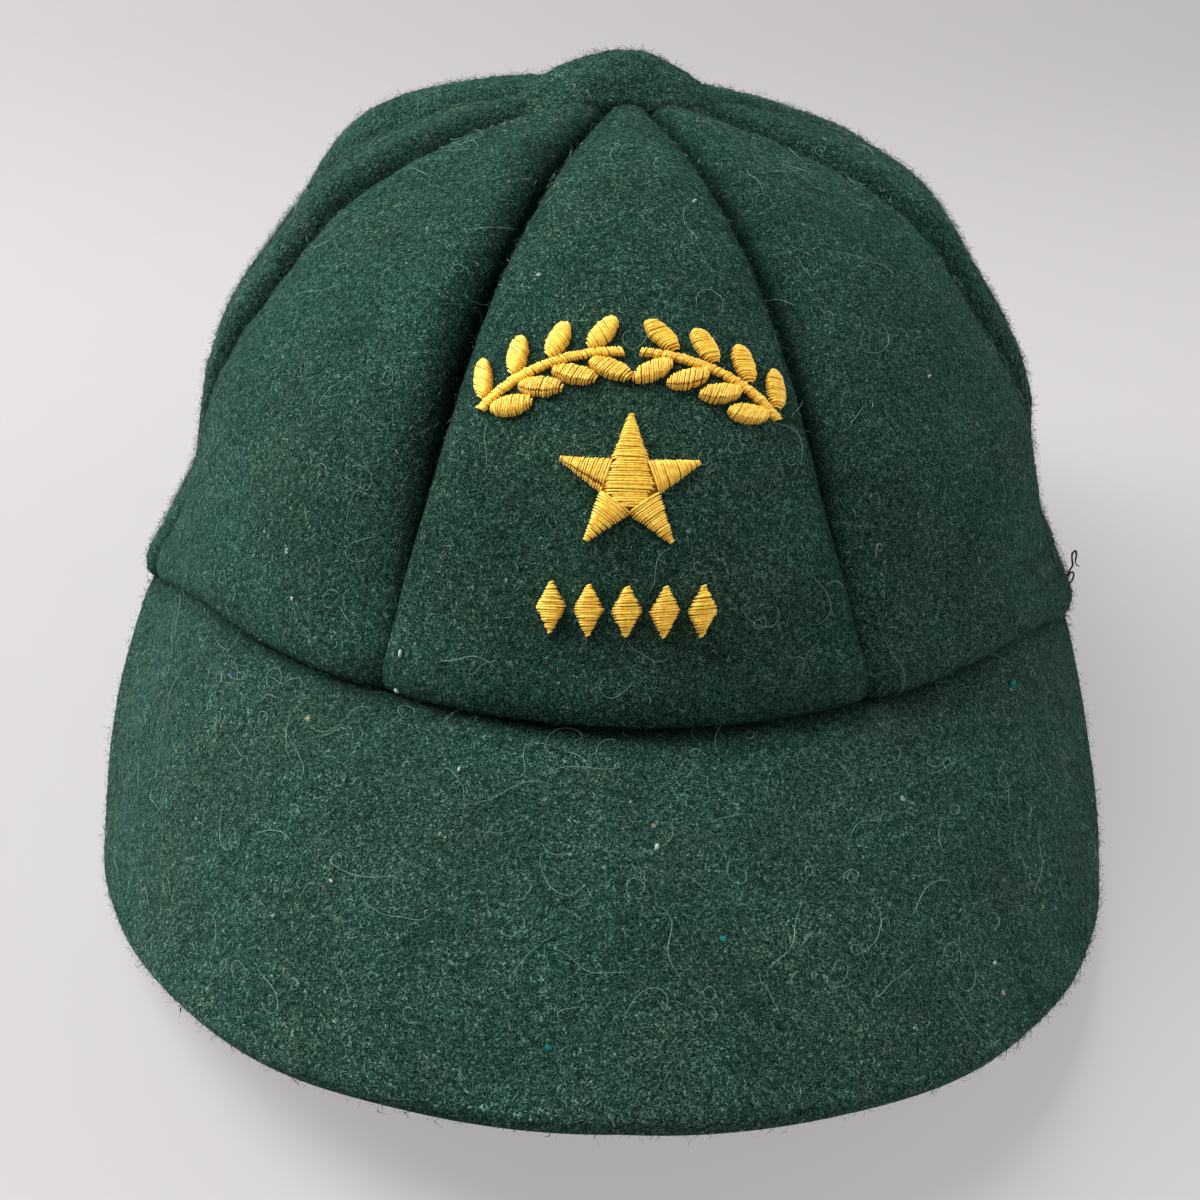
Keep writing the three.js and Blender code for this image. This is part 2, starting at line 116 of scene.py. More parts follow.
@dataclass(frozen=True)
class Ripple:
    """Soft unevenness in space: the sum of plane waves that run in random directions.

    Attributes:
        height: The height of the sum, in mm.
        shortest: The shortest wavelength, in mm.
        longest: The longest wavelength, in mm.
        seed: The random seed.
        waves: How many waves are summed.
    """

    height: float
    shortest: float
    longest: float
    seed: int
    waves: int = 12

    def at(self, points: Array) -> Array:
        """The height at each point: the sum of sin(k.x + phase) over the waves, times a fixed gain."""
        rng = np.random.default_rng(self.seed)
        lengths = rng.uniform(self.shortest, self.longest, self.waves)
        directions = unit(rng.normal(size=(self.waves, 3)))
        phases = rng.uniform(0, 2 * np.pi, self.waves)
        turns = points @ (directions * (2 * np.pi / lengths)[:, None]).T + phases
        return self.height * np.sin(turns).sum(-1) / math.sqrt(self.waves)


CLOTH_RIPPLE = Ripple(0.42, 26, 62, 5)


@dataclass(frozen=True)
class Crown:
    """The crown's surface: eight gores on a dome, in mm, with angle 0 at the brow, growing towards +X.

    A gore stands out of the dome by a puff that fades towards its seams, less the crease of the seam, plus
    what the whole crown swells or sinks above the temples. The rise falls are where the rim's lift over the
    brow starts and ends, in degrees, towards -X and +X. Waist and shoulder give a depth, a middle and spread
    in height, and a middle and spread in degrees.
    """

    rim_width: float = 167
    rim_length: float = 201
    height: float = 89.1
    felt: float = 2.2
    hem: float = 3.4
    hem_height: float = 14
    crease_depth: float = 1.5
    crease_width: float = 2.4
    puff_squareness: float = 2.6
    waist: tuple[float, ...] = (6.3, 28, 14.3, 95, 34)
    shoulder: tuple[float, ...] = (2.7, 71, 8.6, 95, 40)
    front_rise: float = 16.8
    rise_falls: Rows = ((47, 89), (44, 86))
    top_hole: float = 4.2
    sides: tuple[str, ...] = (
        "front", "front_left", "left", "back_left", "back", "back_right", "right", "front_right",
    )
    puffs: tuple[float, ...] = (2.8, 3.3, 1.4, 5.4, 8, 9.2, 0.6, 2.2)
    puff_rows: Rows = ((0, 0.24), (0.18, 0.45), (0.5, 0.95), (0.75, 1), (0.92, 0.45), (1, 0))

    @property
    def half_width(self) -> float:
        """Half the rim's width."""
        return self.rim_width / 2

    @property
    def half_length(self) -> float:
        """Half the rim's length."""
        return self.rim_length / 2

    @property
    def squares(self) -> Array:
        """The squares of the rim's half width and half length, for normals of its ellipse."""
        return np.array([self.half_width**2, self.half_length**2, np.inf])

    @property
    def top_pitch(self) -> float:
        """The pitch at which the gores end, under the button."""
        return math.acos(self.top_hole / self.half_width)

    def seams(self) -> Array:
        """The seams' angles, with equal lengths of rim between them and the brow mid-gore."""
        steps, count = 1440, len(self.puffs)
        middles = (np.arange(steps) + 0.5) / steps * 2 * np.pi
        lengths = np.hypot(self.half_width * np.cos(middles), self.half_length * np.sin(middles))
        total = np.concatenate([[0], np.cumsum(lengths)])
        wanted = total[-1] * (np.arange(count) + 0.5) / count
        return np.interp(wanted, total, np.linspace(0, 2 * np.pi, steps + 1))

    def span(self, gore: int) -> tuple[float, float]:
        """A gore's middle and half width, as angles."""
        seams = self.seams()
        start = seams[gore - 1] - (2 * np.pi if gore == 0 else 0)
        return (start + seams[gore]) / 2, (seams[gore] - start) / 2

    def ring(self, gore: int, pitch: Array) -> Array:
        """Length of rim for each radian of angle, at the middle of a gore and a pitch."""
        middle, _ = self.span(gore)
        level = math.hypot(self.half_width * math.cos(middle), self.half_length * math.sin(middle))
        return np.cos(pitch) * level

    def degrees_round(self, angle: Array) -> Array:
        """Degrees round from the brow, either way."""
        return np.degrees(np.abs(np.arctan2(np.sin(angle), np.cos(angle))))

    def rim_height(self, angle: Array) -> Array:
        """Height of the rim above its plane: lifted over the brow, level elsewhere."""
        degrees = self.degrees_round(angle)
        right, left = (1 - smoothstep(degrees, *fall) for fall in self.rise_falls)
        return self.front_rise * np.where(np.sin(angle) < 0, right, left)

    def rim_pitch(self, angle: Array) -> Array:
        """The pitch of the rim on the dome."""
        return np.arcsin(self.rim_height(angle) / self.height)

    def dome(self, angle: Array, pitch: Array) -> tuple[Array, Array]:
        """Points and outward normals of the smooth dome, an ellipsoid.

        Args:
            angle: Angles round the crown.
            pitch: 0 at the rim's plane and a quarter turn at the top.

        Returns:
            The points and their normals.
        """
        x = self.half_width * np.sin(angle) * np.cos(pitch)
        y = -self.half_length * np.cos(angle) * np.cos(pitch)
        point = np.stack([x, y, self.height * np.sin(pitch) * np.ones_like(angle)], -1)
        return point, unit(point / np.array([self.half_width**2, self.half_length**2, self.height**2]))

    def swell(self, angle: Array, height: Array) -> Array:
        """How far the crown stands out of its dome all told: two bell curves over angle and height."""
        total = np.zeros(np.broadcast(angle, height).shape)
        for sign, (depth, middle, spread, centre, arc) in ((1, self.shoulder), (-1, self.waist)):
            turn = (self.degrees_round(angle) - centre) / arc
            total = total + sign * depth * np.exp(-(turn**2) - ((height - middle) / spread) ** 2)
        return total

    def outer(self, gore: int, angle: Array, pitch: Array) -> tuple[Array, Array]:
        """Points of a gore's outer face, and the dome's normals there.

        Args:
            gore: The gore's number.
            angle: Angles round the crown.
            pitch: Pitches, of the same shape.

        Returns:
            The points and their normals.
        """
        middle, half = self.span(gore)
        point, normal = self.dome(angle, pitch)
        across = np.minimum(np.abs(angle - middle) / half, 1)
        ring = self.ring(gore, pitch)
        puff = self.puffs[gore] * read_rows(self.puff_rows, np.sin(pitch))
        puff = puff * (1 - across**self.puff_squareness)
        room = np.minimum(1, half * ring / (3 * self.crease_width))
        crease = self.crease_depth * room * np.exp(-(1 - across) * half * ring / self.crease_width)
        offset = puff - crease + self.swell(angle, self.height * np.sin(pitch))
        return point + normal * offset[..., None], normal

    def top_at(self, radius: float) -> float:
        """The highest that the gores stand at a distance from the crown's axis."""
        heights = []
        for gore in range(len(self.puffs)):
            middle, _ = self.span(gore)
            across = math.hypot(self.half_width * math.sin(middle), self.half_length * math.cos(middle))
            point, _ = self.outer(gore, np.array([middle]), np.array([math.acos(radius / across)]))
            heights.append(float(point[0, 2]))
        return max(heights)


@dataclass(frozen=True)
class Peak:
    """The peak's surface, in mm, from the brow to a superellipse that is cambered and droops at its wings.

    Edge rows give the share of the droop by turn, and worn rows how far wear has pushed the edge out.
    """

    crown: Crown
    top: float = 2.1
    under: float = 1.7
    ply_gap: float = 0.3
    seat_gap: float = 0.4
    reach: float = 46.5
    width: float = 172
    root: float = 30.5
    squareness: float = 2.06
    drop: float = 32
    wing: float = 79
    wing_taper: float = 0.11
    wing_end: float = 0.12
    tuck: float = 5.5
    camber: float = 1.6
    wing_lift: float = 2.1
    wing_lift_turns: tuple[float, float] = (0.5, 0.85)
    wing_lift_reach: float = 7
    edge_rows: Rows = ((0, 1), (0.26, 1.05), (0.5, 1.17), (0.66, 1.27), (0.8, 1.29), (0.92, 0.98), (1, 0.6))
    worn_rows: Rows = (
        (-1, 2), (-0.94, 1.8), (-0.9, 0.2), (-0.85, 0.3), (-0.75, 0.9), (-0.5, 1.3), (-0.35, 1.8),
        (-0.2, 0.5), (0, 0), (0.2, 0.2), (0.35, 1), (0.5, 0.5), (0.75, -0.3), (0.9, -0.9), (1, -0.3),
    )

    def brow(self, turn: Array) -> Array:
        """The line under the hem where the peak starts, by turn from -1 to 1 between its wings."""
        angle = math.radians(self.wing) * turn
        point, normal = self.crown.dome(angle, self.crown.rim_pitch(angle))
        point = point + normal * self.crown.swell(angle, self.crown.rim_height(angle))[..., None]
        point[..., 2] = self.crown.rim_height(angle) - self.seat_gap
        return point

    def edge(self, turn: Array) -> Array:
        """The outer edge: a superellipse seen from above, narrowed towards the ends of its wings.

        Wear has pushed it out or in a little, level and square to an ellipse of the same size.
        """
        angle = np.minimum(np.abs(turn), 1) * np.pi / 2
        power = 2 / self.squareness
        reach = self.crown.half_length + self.reach - self.root
        x = np.sign(turn) * self.width / 2 * np.sin(angle) ** power
        y = -self.root - reach * np.maximum(np.cos(angle), 0) ** power
        z = self.crown.front_rise - self.drop * read_rows(self.edge_rows, np.abs(turn))
        edge = np.stack([x, y, z], -1)
        square = edge + np.array([0, self.root, 0])
        square = unit(square / np.array([self.width**2 / 4, reach**2, np.inf]))
        edge = edge + square * read_rows(self.worn_rows, turn)[..., None]
        narrowed = (1 - self.wing_end) * smoothstep(np.abs(turn), 1 - self.wing_taper, 1)
        return edge + (self.brow(turn) - edge) * narrowed[..., None]

    def length(self, turn: Array) -> Array:
        """Distance from the brow to the edge."""
        return np.linalg.norm(self.edge(turn) - self.brow(turn), axis=-1)

    def place(self, turn: Array, out: Array) -> Array:
        """Points of the upper face: out is 0 at the brow, 1 at the edge and negative under the hem."""
        brow, edge, length = self.brow(turn), self.edge(turn), self.length(turn)
        tucked = brow + unit(brow / self.crown.squares) * (self.tuck * out)[..., None]
        cambered = brow + (edge - brow) * out[..., None]
        cambered[..., 2] += self.camber * 4 * out * (1 - out) * length / self.reach
        place = np.where((out < 0)[..., None], tucked, cambered)
        lift = self.wing_lift * smoothstep(np.abs(turn), *self.wing_lift_turns)
        place[..., 2] += lift * bell(np.maximum(out, 0) * length / self.wing_lift_reach)
        return place

    def normal(self, turn: Array, out: Array) -> Array:
        """Upward normals, from places a little to each side."""
        step = 0.01
        turn, out = np.clip(turn, -1 + step, 1 - step), np.clip(out, step, 1 - step)
        along = self.place(turn + step, out) - self.place(turn - step, out)
        forward = self.place(turn, out + step) - self.place(turn, out - step)
        return unit(np.cross(forward, along))


@dataclass(frozen=True)
class Button:
    """The button's shape: a soft mound that is pulled down into the gores by the stem under it.

    Skirt rows give how far the mound spreads, by degrees from the brow, as shares of the skirt's radius. The
    lean is how far its top lies across and back.
    """

    crown: Crown
    seat_gap: float = 0.4
    radius: float = 11.4
    rise: float = 6.4
    foot: float = 0.9
    stem_radius: float = 2.6
    stem_length: float = 4.5
    skirt: float = 16.5
    skirt_rows: Rows = ((-180, 1.05), (-135, 1.2), (-90, 1.3), (-45, 0.9), (0, 0.56), (90, 1), (180, 1.05))
    roundness: float = 2.2
    settled: float = 0.2
    lean: tuple[float, float] = (-0.8, 2.2)
    sink: float = 0.4
    ripple: Ripple = Ripple(0.3, 6, 16, 3)

    def seat(self, radius: float) -> float:
        """Height of the button's underside at a distance from its axis."""
        return self.crown.top_at(radius) + self.seat_gap

    def stem_bottom(self) -> float:
        """Height of the lower end of the stem."""
        return self.seat(self.crown.top_hole) - self.stem_length

    def cloth_height(self, turn: Array, radius: Array) -> Array:
        """Height of the gores under a circle round the axis, by the circle's angle from the brow."""
        crown = self.crown
        angle = np.arctan2(np.sin(turn) / crown.half_width, np.cos(turn) / crown.half_length)
        across = np.hypot(crown.half_width * np.sin(angle), crown.half_length * np.cos(angle))
        height = np.zeros_like(turn)
        for gore in range(len(crown.puffs)):
            middle, half = crown.span(gore)
            off = np.arctan2(np.sin(angle - middle), np.cos(angle - middle))
            point, _ = crown.outer(gore, middle + np.clip(off, -half, half), np.arccos(radius / across))
            height = np.where(np.abs(off) <= half, point[..., 2], height)
        return height

    def rings(self, sides: int, count: int) -> tuple[Array, Array]:
        """The profile turned round the axis, from the stem's lower end out to the skirt and in to the top.

        The mound falls from its top to a little under the gores as a power of the distance from its axis.

        Args:
            sides: Corners of each ring.
            count: Rings of the mound.

        Returns:
            Rings by sides by 3, and the points that close the first and the last ring.
        """
        turn = np.linspace(0, 2 * np.pi, sides + 1)[:-1]
        top = self.seat(self.radius * self.foot) + self.rise - self.settled
        stem_top = self.seat(self.crown.top_hole)
        spread = read_rows(self.skirt_rows, np.degrees(np.arctan2(np.sin(turn), np.cos(turn))))
        foot = self.cloth_height(turn, self.skirt * spread) - self.sink
        low = [0.02, self.stem_radius, self.stem_radius, self.skirt * 0.8, self.skirt * 0.98]
        radius = np.concatenate([low, self.skirt * np.sin(np.linspace(np.pi / 2, 0.002, count))])[:, None]
        share = 1 - (radius / self.skirt) ** self.roundness
        height = foot + (top - foot) * share
        bottom = np.array([self.stem_bottom(), self.stem_bottom(), stem_top])[:, None] + 0 * turn
        height[:5] = np.concatenate([bottom, foot[None] - 0.6, foot[None] - 0.5])
        wide = radius * (1 + (spread - 1) * radius / self.skirt)
        across, back = (side * share * (height > stem_top) for side in self.lean)
        ring = np.stack([wide * np.sin(turn) + across, -wide * np.cos(turn) + back, height], -1)
        ring[..., 2] += self.ripple.at(ring) * smoothstep(height, stem_top + 1, top - 1)
        return ring, np.array([[0, 0, height[row].mean()] for row in (0, -1)])


class CapFrame:
    """Carries points from the cap's frame to the model's: a tip about X, then a shift.

    The tip and the shift are found from the model's button, a body of revolution on the cap's axis.
    """

    def __init__(self, stem_bottom: float) -> None:
        """Measures the button.

        Args:
            stem_bottom: Height of the lower end of the button's stem in the cap's frame, in mm.
        """
        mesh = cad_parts["button"].data
        points = np.empty(len(mesh.vertices) * 3)
        mesh.vertices.foreach_get("co", points)
        points = np.unique(points.reshape(-1, 3).round(7), axis=0)
        spread, axes = np.linalg.eigh(np.cov((points - points.mean(0)).T))
        axis = axes[:, np.argmax(np.abs(spread - np.median(spread)))]
        axis = axis * np.sign(axis[2])
        self.tip = math.atan2(-axis[1], axis[2])
        along = points @ axis
        foot = points[along < along.min() + 1e-5].mean(0)
        self.turn = np.array(Matrix.Rotation(self.tip, 3, "X"))
        self.shift = foot - self.turn @ np.array([0, 0, stem_bottom * MM])

    def points(self, points: Array) -> Array:
        """Points in mm in the cap's frame, as metres in the model's."""
        return points * MM @ self.turn.T + self.shift

    def directions(self, vectors: Array) -> Array:
        """Directions in the cap's frame, turned to the model's."""
        return vectors @ self.turn.T


@dataclass
class MeshParts:
    """Vertices in mm with their triangles and quads, gathered before they become one object.

    Attributes:
        points: Blocks of vertices.
        faces: Blocks of faces, as vertex numbers within the whole.
        slots: The material's number for each block of faces.
        crease: How much painted shade each vertex takes in a seam, a fold or under the hem, from 0 to 1, or
            nothing.
        count: Vertices so far.
    """

    points: list[Array] = field(default_factory=list)
    faces: list[Array] = field(default_factory=list)
    slots: list[Array] = field(default_factory=list)
    crease: Array | None = None
    count: int = 0

    def add(self, points: Array, blocks: list[Array], *slots: Array | int) -> "MeshParts":
        """Adds vertices with blocks of faces on them.

        Args:
            points: The vertices, as an n by 3 array.
            blocks: The faces, as m by 3 or m by 4 arrays of numbers within the added vertices.
            *slots: The material's number for each block, one for all its faces or one each. 0 if left out.

        Returns:
            The parts.
        """
        self.points.append(points)
        for faces, slot in zip(blocks, slots or [0] * len(blocks)):
            self.faces.append(faces + self.count)
            self.slots.append(np.broadcast_to(slot, len(faces)))
        self.count += len(points)
        return self

    def make(self, name: str, place: CapFrame, materials: list[Material]) -> bpy.types.Object:
        """Makes the object, with its place in its mesh and nothing of it below the floor.

        Args:
            name: The object's name.
            place: Where the cap stands.
            materials: Its material slots.

        Returns:
            The object, linked to the scene.
        """
        points = place.points(np.concatenate(self.points))
        points[:, 2] = np.maximum(points[:, 2], 0)
        sizes = np.concatenate([np.full(len(block), block.shape[1]) for block in self.faces])
        corners = np.concatenate([block.ravel() for block in self.faces])
        mesh = bpy.data.meshes.new(name)
        mesh.vertices.add(len(points))
        mesh.vertices.foreach_set("co", points.ravel())
        mesh.loops.add(len(corners))
        mesh.loops.foreach_set("vertex_index", corners.astype(np.int32))
        mesh.polygons.add(len(sizes))
        mesh.polygons.foreach_set("loop_start", (np.cumsum(sizes) - sizes).astype(np.int32))
        mesh.polygons.foreach_set("loop_total", sizes.astype(np.int32))
        mesh.polygons.foreach_set("material_index", np.concatenate(self.slots).astype(np.int32))
        mesh.polygons.foreach_set("use_smooth", np.full(len(sizes), True))
        if self.crease is not None:
            mesh.attributes.new("crease", "FLOAT", "POINT").data.foreach_set("value", self.crease)
        mesh.update(calc_edges=True)
        mesh.validate()
        for material in materials:
            mesh.materials.append(material)
        piece = bpy.data.objects.new(name, mesh)
        bpy.context.scene.collection.objects.link(piece)
        return piece


def grid_faces(rows: int, columns: int, flip: bool = False) -> Array:
    """Quads of a grid of vertices, numbered row by row, facing along columns x rows unless flipped."""
    row, column = np.meshgrid(np.arange(rows - 1), np.arange(columns - 1), indexing="ij")
    first = (row * columns + column).ravel()
    quads = np.stack([first, first + 1, first + columns + 1, first + columns], -1)
    return quads[:, ::-1] if flip else quads


def shell(outer: Array, inner: Array) -> Blocks:
    """Joins two grids of points into one closed shell, with a band of quads along each border.

    Args:
        outer: Rows by columns by 3, the face that looks along columns x rows.
        inner: The same for the other face.

    Returns:
        The vertices and the quads.
    """
    rows, columns = outer.shape[:2]
    numbers = np.arange(rows * columns).reshape(rows, columns)
    border = np.concatenate([numbers[0, :-1], numbers[:-1, -1], numbers[-1, :0:-1], numbers[:0:-1, 0]])
    after = np.roll(border, -1)
    offset = rows * columns
    bands = np.stack([border, border + offset, after + offset, after], -1)
    faces = [grid_faces(rows, columns), grid_faces(rows, columns, flip=True) + offset, bands]
    return np.concatenate([outer.reshape(-1, 3), inner.reshape(-1, 3)]), faces


def fans(first: Array, last: Array, tips: tuple[int, int]) -> Array:
    """Triangles that close a tube's first and last ring of vertices round the vertices at its two tips."""
    start = np.stack([np.full(len(first), tips[0]), np.roll(first, -1), first], -1)
    end = np.stack([np.full(len(last), tips[1]), last, np.roll(last, -1)], -1)
    return np.concatenate([start, end])


def circles(along: Array, sides: int) -> Array:
    """Unit circles across directions, each with a number of corners."""
    beside = unit(np.cross(along, np.array([0.31, 0.17, 0.93])))
    above = np.cross(along, beside)
    turn = np.arange(sides) / sides * 2 * np.pi
    return beside[..., None, :] * np.cos(turn)[:, None] + above[..., None, :] * np.sin(turn)[:, None]


def tubes(paths: Array, radii: Array, sides: int) -> Blocks:
    """Closed tubes along many paths at once.

    Each ring is a circle in the plane across its path, and each end is closed by a fan round its middle.

    Args:
        paths: Tubes by steps by 3, the middle lines.
        radii: Tubes by steps, the radii.
        sides: Sides of each ring.

    Returns:
        The vertices, the walls' quads and the fans' triangles.
    """
    count, steps = paths.shape[:2]
    rings = paths[:, :, None] + circles(unit(np.gradient(paths, axis=1)), sides) * radii[:, :, None, None]
    block = steps * sides + 2
    points = np.concatenate([rings.reshape(count, -1, 3), paths[:, :1], paths[:, -1:]], 1)
    step, side = np.meshgrid(np.arange(steps - 1), np.arange(sides), indexing="ij")
    first, second = (step * sides + side).ravel(), (step * sides + (side + 1) % sides).ravel()
    walls = np.stack([first, second, second + sides, first + sides], -1)
    rim = np.arange(sides)
    ends = fans(rim, rim + (steps - 1) * sides, (block - 2, block - 1))
    shift = (np.arange(count) * block)[:, None, None]
    return points.reshape(-1, 3), [(walls + shift).reshape(-1, 4), (ends + shift).reshape(-1, 3)]


def spindles(roots: Array, middles: Array, tips: Array, radii: Array) -> Blocks:
    """Bent fibres, each a closed spindle of six triangles: a point, a ring of three and a point.

    Args:
        roots: Where each fibre starts.
        middles: The middle of each fibre's bend.
        tips: Where each fibre ends.
        radii: The radius of each ring.

    Returns:
        The vertices and the triangles.
    """
    ring = middles[:, None] + circles(unit(tips - roots), 3) * radii[:, None, None]
    points = np.concatenate([roots[:, None], ring, tips[:, None]], 1)
    one = np.array([[0, 2, 1], [0, 3, 2], [0, 1, 3], [4, 1, 2], [4, 2, 3], [4, 3, 1]])
    faces = one[None] + (np.arange(len(roots)) * 5)[:, None, None]
    return points.reshape(-1, 3), [faces.reshape(-1, 3)]


class Graph:
    """A node tree that is built by short calls."""

    def __init__(self, tree: bpy.types.NodeTree) -> None:
        """Starts on an empty tree."""
        self.tree = tree
        tree.nodes.clear()

    def add(self, kind: str, settings: dict | None = None, **inputs: object) -> bpy.types.Node:
        """Adds a node.

        Args:
            kind: The node's type without its ShaderNode start.
            settings: Its properties.
            **inputs: Values or sockets for its inputs, by name with _ for a space, or by _0, _1 and so on.

        Returns:
            The node.
        """
        node = self.tree.nodes.new("ShaderNode" + kind)
        for name, value in (settings or {}).items():
            setattr(node, name, value)
        for name, value in inputs.items():
            socket = node.inputs[int(name[1:])] if name[0] == "_" else node.inputs[name.replace("_", " ")]
            if isinstance(value, Socket):
                self.tree.links.new(value, socket)
            else:
                socket.default_value = value
        return node

    def math(self, operation: str, first: object, second: object = 0.0) -> Socket:
        """A Math node's output for two values or sockets."""
        return self.add("Math", {"operation": operation}, _0=first, _1=second).outputs[0]

    def vector(self, operation: str, first: object, second: object) -> Socket:
        """A Vector Math node's output for two vectors or sockets."""
        return self.add("VectorMath", {"operation": operation}, _0=first, _1=second).outputs[0]

    def scaled(self, vector: Socket, share: object) -> Socket:
        """A vector or colour times a value."""
        return self.add("VectorMath", {"operation": "SCALE"}, _0=vector, Scale=share).outputs[0]

    def mix(self, share: object, first: object, second: object, blend: str = "MIX") -> Socket:
        """A colour mix of two colours or sockets."""
        node = self.add("Mix", {"data_type": "RGBA", "blend_type": blend}, _0=share, _6=first, _7=second)
        return node.outputs[2]

    def ramp(self, value: object, low: object, high: object) -> Socket:
        """A value carried from low..high to 0..1, smoothly and clamped."""
        settings = {"interpolation_type": "SMOOTHSTEP"}
        return self.add("MapRange", settings, Value=value, From_Min=low, From_Max=high).outputs[0]

    def noise(self, vector: object, scale: object, detail: float = 2.0, rough: float = 0.5) -> Socket:
        """A noise texture's value."""
        inputs = {"Scale": scale, "Detail": detail, "Roughness": rough}
        return self.add("TexNoise", None, Vector=vector, **inputs).outputs[0]

    def wander(self, vector: object, scale: object) -> Socket:
        """A noise texture's colour, as a vector that wanders from place to place."""
        return self.add("TexNoise", None, Vector=vector, Scale=scale, Detail=1.0).outputs["Color"]


class Group(Graph):
    """A shader node group with named sockets, kept by its name in the file."""

    def __init__(self, name: str, **inputs: object) -> None:
        """Starts a group that reads a vector.

        Args:
            name: The group's name.
            **inputs: Defaults for its other inputs by name with _ for a space: numbers, or colours as tuples.
        """
        super().__init__(bpy.data.node_groups.new(name, "ShaderNodeTree"))
        self.tree.interface.new_socket("Vector", in_out="INPUT", socket_type="NodeSocketVector")
        for title, default in inputs.items():
            kind = "NodeSocketColor" if isinstance(default, tuple) else "NodeSocketFloat"
            socket = self.tree.interface.new_socket(title.replace("_", " "), in_out="INPUT", socket_type=kind)
            socket.default_value = default
        self.given = self.tree.nodes.new("NodeGroupInput").outputs

    def give(self, **results: Socket) -> None:
        """Makes the group's outputs: a number each, or a colour for one named Color."""
        for title in results:
            kind = "NodeSocketColor" if title == "Color" else "NodeSocketFloat"
            self.tree.interface.new_socket(title, in_out="OUTPUT", socket_type=kind)
        output = self.tree.nodes.new("NodeGroupOutput")
        for title, socket in results.items():
            self.tree.links.new(socket, output.inputs[title])


class Finish(Graph):
    """A material's node tree, which reads places in the object's own coordinates."""

    def __init__(self, name: str) -> None:
        """Starts the material."""
        self.material = bpy.data.materials.new(name)
        self.material.use_nodes = True
        super().__init__(self.material.node_tree)
        self.place = self.add("TexCoord").outputs["Object"]

    def group(self, name: str, **inputs: object) -> bpy.types.bpy_prop_collection:
        """A node group's outputs at each place."""
        tree = {"node_tree": bpy.data.node_groups[name]}
        return self.add("Group", tree, Vector=self.place, **inputs).outputs

    def end(self, **inputs: object) -> Material:
        """Ends in one Principled shader, whose constants are set on its own sockets."""
        shader = self.add("BsdfPrincipled", None, **inputs)
        self.add("OutputMaterial", None, Surface=shader.outputs[0])
        return self.material


def build_curly_fibres() -> None:
    """Curly wool fibres: three layers of thin curving lines, one over the other.

    A layer's lines are where a noise crosses its middle value, at places that another noise has moved. Each
    layer is finer, lower and dimmer than the one before it; the dimming is painted shade under the layers
    above. Its lines are brighter in some patches than others.
    """
    graph = Group("curly_fibres", Scale=1000.0, Bend=0.0006, Width=0.065)
    place, scale, bend, width = (graph.given[name] for name in ("Vector", "Scale", "Bend", "Width"))
    wandered = graph.wander(place, graph.math("MULTIPLY", scale, 0.8))
    centred = graph.vector("SUBTRACT", wandered, (0.5, 0.5, 0.5))
    bent = graph.vector("ADD", place, graph.scaled(centred, bend))
    lines = []
    # painted shade: each lower layer's lines are weaker, so they are dimmer in colour as well as lower in the
    # relief
    for ratio, shift, level in ((0.8, 0.0, 1.0), (1.15, 0.37, 0.85), (1.7, 0.71, 0.62)):
        moved = graph.vector("ADD", bent, (shift, -shift, shift))
        fine = graph.noise(moved, graph.math("MULTIPLY", scale, ratio), 0.0)
        off = graph.math("ABSOLUTE", graph.math("SUBTRACT", fine, 0.5))
        lines.append(graph.math("MULTIPLY", graph.ramp(off, width, 0.0), level))
    bunches = graph.ramp(graph.noise(bent, graph.math("MULTIPLY", scale, 0.5), 1.0), 0.22, 0.6)
    upper = graph.math("MAXIMUM", lines[0], lines[1])
    dim = graph.math("MAXIMUM", upper, lines[2])
    graph.give(Bright=graph.math("MULTIPLY", upper, bunches), Dim=dim, Height=dim)


def build_heathered_wool() -> None:
    """Heathered wool: tufts of two dark tones under fibres of two lighter ones, with faint large patches."""
    black = (0.0, 0.0, 0.0, 1.0)
    tones = {"Dark": black, "Middle": black, "Light": black, "Bright": black}
    graph = Group("heathered_wool", Scale=1300.0, Fibre_Scale=1100.0, **tones)
    given = graph.given
    place, scale = given["Vector"], given["Scale"]
    patches = graph.noise(place, graph.math("MULTIPLY", scale, 0.062))
    hues = graph.ramp(graph.noise(place, graph.math("MULTIPLY", scale, 0.04), 2.0, 0.6), 0.34, 0.66)
    tufts = graph.noise(place, scale, 2.0, 0.6)
    base = graph.mix(graph.ramp(tufts, 0.36, 0.62), given["Dark"], given["Middle"])
    tree = {"node_tree": bpy.data.node_groups["curly_fibres"]}
    curls = graph.add("Group", tree, Vector=place, Scale=given["Fibre Scale"]).outputs
    dim = graph.mix(graph.math("MULTIPLY", curls["Dim"], 0.7), base, given["Light"])
    bright = graph.mix(graph.math("MULTIPLY", curls["Bright"], 0.8), dim, given["Bright"])
    shade = graph.math("ADD", graph.math("MULTIPLY", graph.ramp(patches, 0.3, 0.7), 0.3), 0.85)
    tinted = graph.mix(1.0, bright, graph.mix(hues, (0.9, 1.0, 1.05, 1), (1.1, 1.0, 0.93, 1)), "MULTIPLY")
    graph.give(Color=graph.scaled(tinted, shade), Height=curls["Height"])


